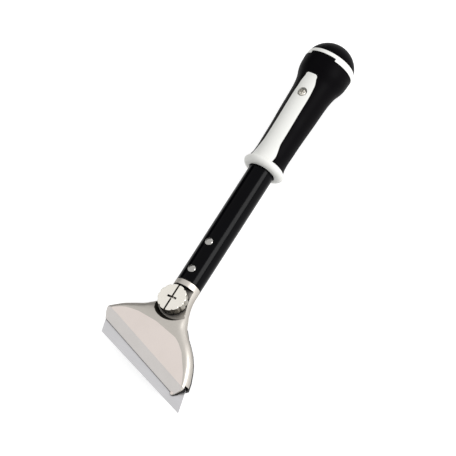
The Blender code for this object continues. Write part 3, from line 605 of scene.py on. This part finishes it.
def head_piece():
    """Casting: neck, fan, knob's seat, jaw's channel and the stud's bore in one."""
    head, clamp = settings("head"), settings("clamp")
    tube = settings("handle").tube_radius
    piece = shape("cast_head", neck_stem())
    carve(piece, cast_fan(), "UNION")
    carve(piece, shape("saddle", saddle_cutter()))
    half, beyond = head.channel / 2, head.neck + OVERRUN
    channel = block((-half, half), (-beyond, -head.channel_start), (-2 * tube, -head.neck_seat))
    carve(piece, shape("channel", channel))
    trim = block((-2 * tube, 2 * tube), (-beyond, -head.channel_start), (-2 * tube, -head.arm_drop))
    carve(piece, shape("trim", trim))
    bore = cylinder(clamp.stud_bore, -head.arm_drop, head.rise)
    carve(piece, shape("bore", bore, Matrix.Translation((0, -clamp.reach, 0))))
    bm = bmesh.new()
    bm.from_mesh(piece.data)
    bmesh.ops.remove_doubles(bm, verts=bm.verts, dist=GAP / 30)
    bmesh.ops.dissolve_limit(
        bm, angle_limit=math.radians(FLAT_ANGLE), verts=bm.verts, edges=bm.edges,
    )
    bm.to_mesh(piece.data)
    bm.free()
    soften(piece, head.edge_round)
    return piece


# Blade

def blade_piece():
    """Strip with parallel slanted ends and a ground edge."""
    blade = settings("blade")
    half, thick, edge = blade.width / 2, blade.thickness, blade.edge_thickness
    profile = [
        (-half, (edge - thick) / 2), (blade.edge_depth - half, 0), (half, 0),
        (half, -thick), (blade.edge_depth - half, -thick), (-half, -(edge + thick) / 2),
    ]
    ends = [
        [(side * blade.length / 2 - y / math.tan(blade.slant), y, z) for y, z in profile]
        for side in (-1, 1)
    ]
    return shape("strip_blade", stack(ends), skewed(blade.skew))


# Clamp

def clamp_base():
    """Height of the knob's underside above the tube's axis."""
    return settings("head").saddle_floor + settings("clamp").washer_thickness + 2 * GAP


def knob_rings(steps=24, edge_steps=6):
    """Rings of the knob's scalloped side, up to a rounded edge round its face."""
    clamp = settings("clamp")
    count = clamp.scallops * steps
    levels = [(0, 0)]
    for step in range(edge_steps + 1):
        angle = math.pi / 2 * step / edge_steps
        inward, upward = clamp.chamfer * (1 - math.cos(angle)), clamp.chamfer * math.sin(angle)
        levels.append((clamp.height - clamp.chamfer + upward, inward))
    rings = []
    for z, less in levels:
        ring = []
        for i in range(count):
            angle = 2 * math.pi * i / count
            hollow = clamp.scallop_depth * max(0, math.cos(clamp.scallops * angle)) ** 2
            reach = clamp.diameter / 2 - less - hollow
            ring.append((reach * math.cos(angle), reach * math.sin(angle), z))
        rings.append(ring)
    return rings


def knob_piece():
    """Knob with a coin slot right across its face and a short slot across that."""
    clamp = settings("clamp")
    spot = Matrix.Translation((0, -clamp.reach, clamp_base()))
    knob = shape("slotted_knob", stack(knob_rings()), spot)
    depth = (clamp.height - clamp.slot_depth, clamp.height + OVERRUN)
    half, reach = clamp.slot_width / 2, clamp.diameter / 2 + OVERRUN
    carve(knob, shape("coin", block((-half, half), (-reach, reach), depth), spot))
    half, reach = clamp.cross_width / 2, clamp.cross_length / 2
    carve(knob, shape("cross", block((-reach, reach), (-half, half), depth), spot))
    carve(knob, shape("socket", cylinder(clamp.stud_bore, -OVERRUN, clamp.height / 2), spot))
    soften(knob, clamp.slot_round, angle=50)
    return knob


def washer_piece():
    """Washer with bevelled outer edges under the knob's foot."""
    clamp = settings("clamp")
    low = settings("head").saddle_floor + GAP
    high, edge = low + clamp.washer_thickness, clamp.washer_thickness / 3
    outer, inner = clamp.washer_radius, clamp.stud_bore
    body = turned([
        (inner, low), (outer - edge, low), (outer, low + edge), (outer, high - edge),
        (outer - edge, high), (inner, high),
    ])
    return shape("plated_washer", body, Matrix.Translation((0, -clamp.reach, 0)))


# Handle

def waist_radius():
    """Outer radius of the grip at its waist."""
    handle = settings("handle")
    return handle.tube_radius + handle.core_wall + handle.sleeve_wall + 2 * GAP


def grip_start():
    """Where the soft sleeve begins, behind the collar."""
    handle = settings("handle")
    return handle.free_tube + handle.collar_length + GAP


def band_start():
    """Where the pale band begins, behind the soft sleeve."""
    return grip_start() + settings("handle").grip_length + GAP


def screw_place():
    """Where the handle screw stands along the tool."""
    handle = settings("handle")
    return grip_start() + handle.screw_share * handle.grip_length


def grip_outline():
    """Points (radius, y) of the grip's outside, on a smooth curve."""
    handle = settings("handle")
    waist, start = waist_radius(), grip_start()
    span = handle.dome_radius - waist
    return [(waist + r * span, start + y * handle.grip_length) for y, r in smooth_run(GRIP_SHARES, steps=4)]


def grip_radius(place):
    """Outer radius of the grip at a place along the tool."""
    points = grip_outline()
    for (r0, y0), (r1, y1) in zip(points, points[1:]):
        if y0 <= place <= y1:
            return r0 + (r1 - r0) * (place - y0) / (y1 - y0)
    return points[-1][0]


def sphere_points(start, end, count):
    """Points (radius, y) of the dome's sphere between two distances from its middle."""
    radius, base = settings("handle").dome_radius, band_start()
    first, last = math.asin(start / radius), math.asin(end / radius)
    angles = [first + (last - first) * i / count for i in range(count + 1)]
    return [(radius * math.cos(a), base + radius * math.sin(a)) for a in angles]


def collar_outline():
    """Points (radius, y) of the collar's rounded outside."""
    handle = settings("handle")
    waist = waist_radius()
    return [
        (waist + r * (handle.collar_radius - waist), handle.free_tube + y * handle.collar_length)
        for y, r in smooth_run(COLLAR_SHARES, steps=6)
    ]


def strip_outline(margin):
    """Outline of the front strip seen from the front, with two round corners at its upper end."""
    handle = settings("handle")
    waist, start = waist_radius(), grip_start()
    side = [
        (r * waist + margin, start + y * handle.grip_length) for y, r in smooth_run(STRIP_SHARES, steps=6)
    ]
    side[0] = (side[0][0], side[0][1] - margin)
    corner = handle.strip_corner + margin
    centre = (side[-1][0] - corner, screw_place() + handle.strip_end - handle.strip_corner)
    side += arc(centre, corner, 0, math.pi / 2, count=12)
    return side + [(-x, y) for x, y in side[::-1]]


def tab_seat():
    """Room in the band for the sleeve's tab."""
    handle = settings("handle")
    top, far = band_start(), 2 * handle.dome_radius
    drop = handle.sleeve_wall + GAP
    under = [(r - drop, y) for r, y in sphere_points(0, handle.tab_height + GAP, count=4)]
    under.insert(0, (under[0][0], top - OVERRUN))
    seat = shape("seat", turned([*under, (far, under[-1][1]), (far, under[0][1])], along=True))
    half = handle.tab_width / 2 + GAP
    front = block((-half, half), (top - 2 * OVERRUN, top + handle.band_width), (0, 2 * far))
    carve(seat, shape("front", front), "INTERSECT")
    return seat


def beside_tab():
    """Everything beyond the sleeve's end but its front tab."""
    handle = settings("handle")
    half, far = handle.tab_width / 2, 2 * handle.dome_radius
    outline = [
        (-far, -far), (far, -far), (far, far), (half, far), (half, 0), (-half, 0), (-half, far),
        (-far, far),
    ]
    ends = (band_start() - GAP, band_start() + handle.band_width)
    return shape("beside", stack([[(x, y, z) for x, z in outline] for y in ends]))


def core_piece():
    """Collar, strip and band of the handle."""
    handle = settings("handle")
    socket, top = handle.tube_radius + GAP, band_start()
    outside = grip_outline()
    under = [(r - handle.sleeve_wall - GAP, y) for r, y in outside]
    under[0] = (under[0][0], handle.free_tube + handle.collar_length)
    under[-1] = (under[-1][0], top)
    core = shape("white_core", turned([
        (0, screw_place()), (socket, screw_place()), (socket, handle.free_tube + handle.mouth_depth),
        (socket + handle.mouth_flare, handle.free_tube), *collar_outline(), *under,
        *sphere_points(0, handle.band_width, count=8), (0, top + handle.band_width),
    ], along=True))
    outer = [(r + handle.strip_proud, y) for r, y in outside]
    outer.insert(0, (outer[0][0], handle.free_tube + handle.collar_length - OVERRUN))
    depth = handle.strip_proud + handle.sleeve_wall + GAP + handle.core_wall / 2
    shell = turned(outer + [(r - depth, y) for r, y in outer[::-1]], along=True)
    strip = shape("strip", shell)
    carve(strip, shape("plan", prism(strip_outline(0), 0, 2 * handle.dome_radius)), "INTERSECT")
    carve(core, strip, "UNION")
    carve(core, tab_seat())
    floor = grip_radius(screw_place()) + handle.strip_proud - handle.recess_depth
    spot = Matrix.Translation((0, screw_place(), 0))
    recess = cylinder(handle.recess_radius, floor, 2 * handle.dome_radius)
    carve(core, shape("recess", recess, spot))
    hole = cylinder(handle.screw_hole, 0, 2 * handle.dome_radius)
    carve(core, shape("hole", hole, spot))
    soften(core, handle.edge_round, angle=40)
    return core


def sleeve_piece():
    """Soft sleeve, open over the strip, with a tab that laps over the band."""
    handle = settings("handle")
    outside = grip_outline() + sphere_points(0, handle.tab_height, count=4)
    inside = [(r - handle.sleeve_wall, y) for r, y in outside[::-1]]
    sleeve = shape("soft_sleeve", turned(outside + inside, along=True))
    carve(sleeve, shape("plan", prism(strip_outline(GAP), 0, 2 * handle.dome_radius)))
    carve(sleeve, beside_tab())
    soften(sleeve, handle.edge_round, angle=40)
    return sleeve


def cap_piece():
    """Domed cap at the butt."""
    handle = settings("handle")
    base = handle.band_width + GAP
    points = sphere_points(base, handle.dome_radius, count=32)[:-1]
    start = band_start() + base
    profile = [(0, start), (points[0][0] - GAP, start), *points[1:]]
    return shape("dome_cap", turned([*profile, (0, band_start() + handle.dome_radius)], along=True))


def tube_piece():
    """Tube from the ring to the back of the collar."""
    handle = settings("handle")
    outer, inner = handle.tube_radius, handle.tube_radius - handle.tube_wall
    end = handle.free_tube + handle.collar_length
    return shape("painted_tube", turned([
        (inner, GAP), (outer - GAP, GAP), (outer, 2 * GAP), (outer, end), (inner, end),
    ], along=True))


def rivet_piece(number):
    """Rivet right through the tube, with a domed head at both sides."""
    handle = settings("handle")
    seat = handle.tube_radius + GAP
    dome = dome_points(handle.rivet_head / 2, handle.rivet_dome, seat, count=12)
    top = [(handle.rivet_shaft, seat), *dome]
    profile = [(r, -z) for r, z in top[::-1]] + top
    place = handle.rivet_first + number * handle.rivet_pitch
    return shape(f"rivet_{number}", turned(profile, SMALL_SIDES), Matrix.Translation((0, place, 0)))


def screw_piece():
    """Domed screw in the strip's recess, with a cross recess of its own."""
    handle = settings("handle")
    place = screw_place()
    seat = grip_radius(place) + handle.strip_proud - handle.recess_depth + GAP
    shaft = handle.screw_hole - GAP
    profile = [(0, 0), (shaft, 0), (shaft, seat)]
    profile += dome_points(handle.screw_radius, handle.screw_height, seat, count=10)
    spot = Matrix.Translation((0, place, 0))
    screw = shape("cross_screw", turned(profile, SMALL_SIDES), spot)
    top = seat + handle.screw_height
    long, wide = handle.cross_length / 2, handle.cross_width / 2
    for x, y in ((long, wide), (wide, long)):
        cut = block((-x, x), (-y, y), (top - handle.cross_depth, top + OVERRUN))
        carve(screw, shape("cross", cut, spot))
    return screw


# Finishes

def add(tree, kind, inputs=None, **options):
    """Adds a shader node with its options, and sets or links its inputs."""
    node = tree.nodes.new("ShaderNode" + kind)
    for name, value in options.items():
        setattr(node, name, value)
    for key, value in (inputs or {}).items():
        if isinstance(value, bpy.types.NodeSocket):
            tree.links.new(value, node.inputs[key])
        else:
            node.inputs[key].default_value = value
    return node


def empty_tree(owner):
    """Empty shader tree of a material or a world."""
    owner.use_nodes = True
    owner.node_tree.nodes.clear()
    return owner.node_tree


def finish(name, hue, grain, relief, metallic=0, roughness=0.4, spread=0.1, fade=0.9, draw=(1, 1, 1),
           haze=20 * MM, level=0.5, recess=1.0, reach=6 * MM, edge=1.0, dark=0.25, open_sky=0.8):
    """Material with a grain of a real size, drawn out along an axis by draw.

    The grain shades the colour down by fade, varies the roughness by spread and stands
    relief high. A second, broad pattern of haze in size stands for handling marks. Hollows
    within reach of other surfaces keep only a recess share of the colour as painted shade,
    in full where less than a dark share of the sky is open and not at all above open_sky.
    Where a metal is seen at a grazing angle it keeps an edge share of its brightness.
    """
    material = bpy.data.materials.get(name)
    if material:
        return material
    material = bpy.data.materials.new(name)
    base = getattr(settings("finish"), hue)
    material.diffuse_color = (*base, 1)
    tree = empty_tree(material)
    place = add(tree, "TexCoord")
    run = add(tree, "Mapping", {"Vector": place.outputs["Object"], "Scale": draw})
    fine = add(tree, "TexNoise", {
        "Vector": run.outputs["Vector"], "Scale": 1 / grain, "Detail": 3.0, "Roughness": 0.55,
    })
    broad = add(tree, "TexNoise", {
        "Vector": place.outputs["Object"], "Scale": 1 / haze, "Detail": 2.0,
    })
    both = add(tree, "Math", {
        0: fine.outputs["Fac"], 1: broad.outputs["Fac"],
    }, operation="MULTIPLY")
    tone = add(tree, "MapRange", {
        "Value": both.outputs[0], "From Min": PATTERN_LOW, "From Max": PATTERN_HIGH,
        "To Min": fade, "To Max": 1.0,
    })
    # Ambient occlusion paints shade into hollows and next to other parts
    hollow = add(tree, "AmbientOcclusion", {"Distance": reach}, samples=8)
    painted_shade = add(tree, "MapRange", {
        "Value": hollow.outputs["AO"], "From Min": dark, "From Max": open_sky,
        "To Min": recess, "To Max": 1.0,
    })
    both_tones = add(tree, "Math", {
        0: tone.outputs[0], 1: painted_shade.outputs[0],
    }, operation="MULTIPLY")
    shade = add(tree, "Mix", {
        "Factor": 1.0, "A": (*base, 1), "B": both_tones.outputs[0],
    }, data_type="RGBA", blend_type="MULTIPLY")
    rough = add(tree, "MapRange", {
        "Value": both.outputs[0], "From Min": PATTERN_LOW, "From Max": PATTERN_HIGH,
        "To Min": roughness + spread / 2, "To Max": roughness - spread / 2,
    })
    bump = add(tree, "Bump", {
        "Height": fine.outputs["Fac"], "Strength": 1.0, "Distance": relief,
    })
    skin = add(tree, "BsdfPrincipled", {
        "Base Color": shade.outputs["Result"], "Metallic": metallic, "Roughness": rough.outputs[0],
        "Normal": bump.outputs["Normal"], "Specular IOR Level": level,
        "Specular Tint": (edge, edge, edge, 1),
    })
    add(tree, "OutputMaterial", {"Surface": skin.outputs["BSDF"]})
    return material


# Bead marks, ground lines and mould grain are mostly finer than the render can show, so the
# grains below are several times the real ones, as coarse as they need to be to show

def cast_wall():
    # Zinc die casting, tumbled and nickel plated: bright flanks that mirror softly, with broad painted
    # shade wherever other surfaces come within 14 mm, as round the knob
    return finish("nickelled_zinc_casting", "cast", 1.6 * MM, 4 * MICRON, metallic=1, roughness=0.45,
                  spread=0.08, fade=0.95, recess=0.08, reach=14 * MM, edge=0.3)


def cast_hollow():
    # Unpolished walls of the knob's seat and of the hollow end: a dark zinc colour that is painted shade,
    # standing for the shade that falls in them
    return finish("dark_cast_zinc", "hollow_shade", 0.8 * MM, 4 * MICRON, metallic=1, roughness=0.5,
                  recess=0.3)


def cast_face():
    # The same casting blasted with fine beads: an even satin with a warm cast, and painted shade where the
    # knob and the walls come close
    return finish("bead_blasted_zinc", "cast_face", 0.45 * MM, 5 * MICRON, metallic=1,
                  roughness=0.42, fade=0.95, recess=0.3)


def cast_bevel():
    # Front bevel of the casting, ground along the lip: a greyer satin with fine lines
    return finish("ground_zinc", "bevel", 0.5 * MM, 3 * MICRON, metallic=1, roughness=0.36,
                  fade=0.93, draw=(0.15, 1, 1))


def blade_steel():
    # Carbon steel strip, ground along its length: cool grey with faint long lines, and a
    # thin painted shadow line where it goes in under the lip
    return finish("ground_carbon_steel", "blade", 0.6 * MM, 2 * MICRON, metallic=1, roughness=0.33,
                  fade=0.94, draw=(0.06, 1, 1), recess=0.05, reach=2 * MM, dark=0.7, open_sky=0.9)


def plated_steel():
    # Steel with bright nickel: close to a mirror, dulled a little by handling, with painted shade in its
    # slots and where it meets other parts
    return finish("nickelled_steel", "plated", 1.2 * MM, 2 * MICRON, metallic=1, roughness=0.16,
                  fade=0.95, recess=0.2, reach=4 * MM, edge=0.25)


def knob_side():
    # The knob's scallops: the same nickel, dulled, and darker as a painted dark reflection, with painted
    # shade where the seat closes round them
    return finish("handled_nickel", "knob_side_shade", 1.2 * MM, 4 * MICRON, metallic=1, roughness=0.3,
                  spread=0.12, fade=0.85, recess=0.08, reach=10 * MM)


def screw_steel():
    # Zinc-plated screw: pale and satin, set in the strip's shallow well, with painted shade from the well's
    # walls
    return finish("zinc_plated_steel", "fixing", 0.8 * MM, 3 * MICRON, metallic=1, fade=0.95,
                  recess=0.5, reach=3 * MM)


def plain_steel():
    # Pressed steel with a black oxide finish: dark and even, with a faint sheen on its edges and painted
    # shade where other parts come close
    return finish("black_oxide_steel", "dark", 1 * MM, 6 * MICRON, roughness=0.5, spread=0.16,
                  fade=0.85, level=0.2, recess=0.2)


def rivet_metal():
    # Drawn aluminium rivets, handled for years: grey domes with a small bright spot, and painted shade
    # round their foot on the tube
    return finish("drawn_aluminium", "rivet", 0.8 * MM, 3 * MICRON, metallic=1, roughness=0.22,
                  recess=0.3, reach=3 * MM, edge=0.2)


def tube_paint():
    # Black stoving enamel on steel: deep gloss with a slight orange peel
    return finish("stoved_black_enamel", "paint", 2.2 * MM, 6 * MICRON, roughness=0.16,
                  spread=0.06, fade=0.8, level=0.05)


def pale_plastic():
    # Off-white moulded polypropylene: smooth satin that gathers a little dust, with painted shade in its
    # recesses and along the sleeve's edges
    return finish("moulded_polypropylene", "white", 0.7 * MM, 6 * MICRON, fade=0.97,
                  haze=12 * MM, level=0.3, recess=0.6, reach=4 * MM)


def soft_rubber():
    # Thermoplastic elastomer from a spark-eroded mould: fine grain and a broad dull sheen
    return finish("moulded_elastomer", "soft", 0.6 * MM, 14 * MICRON, roughness=0.46, fade=0.75,
                  level=0.025)


def cap_plastic():
    # Black moulded nylon: a tighter sheen than the grip's
    return finish("moulded_nylon", "cap", 0.8 * MM, 7 * MICRON, roughness=0.45, fade=0.8,
                  level=0.02)


def black_felt():
    # Wool felt: a nap of about 3 mm that swallows the light
    return finish("black_felt", "paint", 3 * MM, 200 * MICRON, roughness=0.95, spread=0.05, fade=0.7,
                  level=0.0)


def on_seat_wall(point):
    """Whether a point lies on the leaning wall of the knob's seat."""
    head = settings("head")
    part = (point.z - head.saddle_floor) / (head.saddle_rim - head.saddle_floor)
    side = head.floor_side + (head.rim_side - head.floor_side) * part
    back = head.floor_back + (head.rim_back - head.floor_back) * part
    radius = head.floor_radius + (head.rim_radius - head.floor_radius) * part
    off = abs(math.hypot(point.x - side, point.y + back) - radius)
    low, high = WALL_SHARES
    return off < head.edge_round and low < part < high and point.y < -back


def in_end_hollow(point):
    """Whether a point lies in the hollow at the lip's right end."""
    head, blade = settings("head"), settings("blade")
    spot = skewed(head.lip_skew).inverted() @ point
    along = spot.x > blade.length / 2 - head.end_hollow - GAP
    depth = spot.y + head.lip_ahead
    across = head.lip_bar - GAP < depth < head.hollow_back + GAP
    roof = bevel_height(min(depth, head.bevel_width)) - head.end_roof
    return along and across and spot.z < roof + GAP


def paint_head(piece):
    """Gives each face of the casting its finish: 0 wall, 1 face, 2 bevel, 3 the painted shade of the seat's
    wall and the end hollow.
    """
    head = settings("head")
    slope = (head.thickness - head.lip_height) / head.bevel_width
    face = blade_plane().to_3x3() @ Vector((0, 0, 1))
    bevel = skewed(head.lip_skew).to_3x3() @ Vector((0, -slope, 1)).normalized()
    nearest = math.cos(math.radians(FACE_ANGLE))
    for polygon in piece.data.polygons:
        for number, normal in enumerate((face, bevel), 1):
            if polygon.normal.dot(normal) > nearest:
                polygon.material_index = number
        corners = [piece.data.vertices[number].co for number in polygon.vertices]
        # The seat's wall and the end hollow get the dark colour that paints their shade
        if all(map(on_seat_wall, corners)) or all(map(in_end_hollow, corners)):
            polygon.material_index = 3


def paint_knob(knob):
    """Gives the faces of the knob's scalloped side their own darker finish, a painted dark reflection."""
    clamp = settings("clamp")
    inside = clamp.diameter / 2 - 2 * clamp.scallop_depth
    for polygon in knob.data.polygons:
        reach = math.hypot(polygon.center.x, polygon.center.y + clamp.reach)
        if reach > inside and abs(polygon.normal.z) < SIDE_RISE:
            polygon.material_index = 1


# Stage

def seen(tree):
    """Socket that is 1 for the rays of the camera, of gloss and of glass."""
    path = add(tree, "LightPath")
    direct = add(tree, "Math", {
        0: path.outputs["Is Camera Ray"], 1: path.outputs["Is Glossy Ray"],
    }, operation="MAXIMUM")
    every = add(tree, "Math", {
        0: direct.outputs[0], 1: path.outputs["Is Transmission Ray"],
    }, operation="MAXIMUM")
    return every.outputs[0]


def build_floor():
    """Pale paper under the tool that keeps the tool's shadow."""
    stage = settings("stage")
    half = (-stage.floor, stage.floor)
    floor = shape("paper_floor", block(half, half, (-GAP, 0)))
    material = bpy.data.materials.new("white_paper")
    tree = empty_tree(material)
    place = add(tree, "TexCoord")
    # Uncoated paper: a tooth of about 2 mm that only shows at grazing light
    tooth = add(tree, "TexNoise", {"Vector": place.outputs["Object"], "Scale": 1 / (2 * MM)})
    relief = add(tree, "Bump", {
        "Height": tooth.outputs["Fac"], "Strength": 1.0, "Distance": 10 * MICRON,
    })
    paper = add(tree, "BsdfPrincipled", {
        "Base Color": (*settings("finish").floor, 1), "Roughness": 0.9,
        "Specular IOR Level": 0.0, "Normal": relief.outputs["Normal"],
    })
    glow = add(tree, "Emission", {"Color": (1, 1, 1, 1), "Strength": stage.floor_glow})
    none = add(tree, "Emission", {"Strength": 0.0})
    veil = add(tree, "MixShader", {
        0: seen(tree), 1: none.outputs[0], 2: glow.outputs[0],
    })
    both = add(tree, "AddShader", {0: paper.outputs["BSDF"], 1: veil.outputs[0]})
    add(tree, "OutputMaterial", {"Surface": both.outputs[0]})
    coat(floor, material)


def build_screen():
    """Black screen behind the tool on the left, which only the metal and the gloss mirror."""
    stage = settings("stage")
    half, away = stage.screen_width / 2, Matrix.Translation((0, stage.screen_distance, 0))
    panel = block((-half, half), (-OVERRUN, OVERRUN), (0, stage.screen_height))
    screen = shape("black_screen", panel, Matrix.Rotation(stage.screen_turn, 4, "Z") @ away)
    coat(screen, black_felt())
    screen.visible_camera = False
    screen.visible_diffuse = False
    screen.visible_shadow = False


def build_world():
    """Sky that is white where it is seen and gives a soft even light."""
    world = bpy.data.worlds.new("soft_sky")
    bpy.context.scene.world = world
    tree = empty_tree(world)
    plain = add(tree, "Background", {
        "Color": (1, 1, 1, 1), "Strength": settings("stage").sky,
    })
    white = add(tree, "Background", {"Color": (1, 1, 1, 1), "Strength": 1.0})
    both = add(tree, "MixShader", {
        0: seen(tree), 1: plain.outputs[0], 2: white.outputs[0],
    })
    add(tree, "OutputWorld", {"Surface": both.outputs[0]})


def build_lamps():
    """Broad key lamp to the right of the tool and a weak fill lamp beyond its dome."""
    for name, place, width in LAMPS:
        lamp = bpy.data.lights.new(name, "AREA")
        lamp.shape = "DISK"
        lamp.size = width
        lamp.energy = getattr(settings("stage"), name)
        holder = bpy.data.objects.new(name, lamp)
        holder.location = tool_origin() + Vector(place)
        holder.rotation_euler = Vector(place).to_track_quat("Z", "Y").to_euler()
        bpy.context.scene.collection.objects.link(holder)


def build_camera():
    """Camera at the photograph's angle: from above, a little to the right of the head."""
    stage = settings("stage")
    data = bpy.data.cameras.new("camera")
    data.sensor_width = SENSOR_WIDTH
    data.lens = stage.lens
    data.clip_start, data.clip_end = CLIP_RANGE
    camera = bpy.data.objects.new("camera", data)
    right, up, back = (Vector(axis) for axis in CAMERA_AXES)
    turn = Matrix((right, up, back)).transposed().to_4x4()
    camera.matrix_world = Matrix.Translation(stage.camera) @ turn
    bpy.context.scene.collection.objects.link(camera)
    bpy.context.scene.camera = camera


# Operators

class SCRAPER_OT_head(bpy.types.Operator):
    """Builds the cast head with its blasted face, ground bevel and bright flanks"""
    bl_idname = "scraper.head"
    bl_label = "Head"

    def execute(self, context):
        piece = head_piece()
        looks = (cast_wall(), cast_face(), cast_bevel(), cast_hollow())
        fit(piece, looks, "body", "head_casting")
        paint_head(piece)
        return {"FINISHED"}


class SCRAPER_OT_blade(bpy.types.Operator):
    """Builds the ground strip blade"""
    bl_idname = "scraper.blade"
    bl_label = "Blade"

    def execute(self, context):
        fit(blade_piece(), [blade_steel()], "strip", "blade")
        return {"FINISHED"}


class SCRAPER_OT_clamp(bpy.types.Operator):
    """Builds the slotted knob and its washer"""
    bl_idname = "scraper.clamp"
    bl_label = "Clamp"

    def execute(self, context):
        knob = knob_piece()
        fit(knob, (plated_steel(), knob_side()), "clamp", "clamp_knob")
        paint_knob(knob)
        fit(washer_piece(), [plated_steel()], "body", "knob_washer")
        return {"FINISHED"}


class SCRAPER_OT_tube(bpy.types.Operator):
    """Builds the painted tube and its two rivets"""
    bl_idname = "scraper.tube"
    bl_label = "Tube"

    def execute(self, context):
        fit(tube_piece(), [tube_paint()], "body", "handle_tube")
        for number, node in enumerate(("front_rivet", "rear_rivet")):
            fit(rivet_piece(number), [rivet_metal()], "body", node)
        return {"FINISHED"}


class SCRAPER_OT_grip(bpy.types.Operator):
    """Builds the pale core, the soft sleeve, the dome and the screw"""
    bl_idname = "scraper.grip"
    bl_label = "Grip"

    def execute(self, context):
        fit(core_piece(), [pale_plastic()], "body", "handle_core")
        fit(sleeve_piece(), [soft_rubber()], "body", "grip_sleeve")
        fit(cap_piece(), [cap_plastic()], "body", "end_cap")
        fit(screw_piece(), [screw_steel()], "body", "handle_screw")
        return {"FINISHED"}


class SCRAPER_OT_underside(bpy.types.Operator):
    """Finishes the jaw and the small pieces under the head"""
    bl_idname = "scraper.underside"
    bl_label = "Underside"

    def execute(self, context):
        looks = {
            "rear_jaw": plain_steel, "jaw_insert": plated_steel, "clamp_stud": plated_steel,
            "stud_retaining_ring": plain_steel, "lift_spring": plated_steel,
            "blade_stop_pin_left": plated_steel, "blade_stop_pin_right": plated_steel,
            "screw_anchor": cap_plastic,
        }
        for node, look in looks.items():
            coat(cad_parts[node], look())
        return {"FINISHED"}


class SCRAPER_OT_stage(bpy.types.Operator):
    """Sets the pale floor, the black screen, the soft lamps and the camera"""
    bl_idname = "scraper.stage"
    bl_label = "Stage"

    def execute(self, context):
        build_floor()
        build_screen()
        build_world()
        build_lamps()
        build_camera()
        return {"FINISHED"}


# Panel and run

PIECES = (
    SCRAPER_OT_head, SCRAPER_OT_blade, SCRAPER_OT_clamp, SCRAPER_OT_tube, SCRAPER_OT_grip,
    SCRAPER_OT_underside, SCRAPER_OT_stage,
)


class SCRAPER_PT_panel(bpy.types.Panel):
    """Lists the scraper's pieces and their sizes"""
    bl_idname = "SCRAPER_PT_panel"
    bl_label = "Hand scraper"
    bl_space_type = "VIEW_3D"
    bl_region_type = "UI"
    bl_category = "Scraper"

    def draw(self, context):
        layout = self.layout
        for piece in PIECES:
            layout.operator(piece.bl_idname)
        for kind in KINDS:
            box = layout.box()
            box.label(text=kind.capitalize())
            group = settings(kind)
            for name in group.__annotations__:
                box.prop(group, name)


CLASSES = (*KINDS.values(), *PIECES, SCRAPER_PT_panel)


def register():
    """Registers the classes and gives the scene its settings."""
    for kind in CLASSES:
        bpy.utils.register_class(kind)
    for name, group in KINDS.items():
        setattr(bpy.types.Scene, f"scraper_{name}", bpy.props.PointerProperty(type=group))


def unregister():
    """Takes the settings and the classes away again."""
    for name in KINDS:
        delattr(bpy.types.Scene, f"scraper_{name}")
    for kind in reversed(CLASSES):
        bpy.utils.unregister_class(kind)


def main():
    """Builds every piece and the stage."""
    register()
    bpy.context.scene.view_settings.view_transform = "Standard"
    for piece in PIECES:
        group, name = piece.bl_idname.split(".")
        getattr(getattr(bpy.ops, group), name)()


if __name__ == "__main__":
    main()
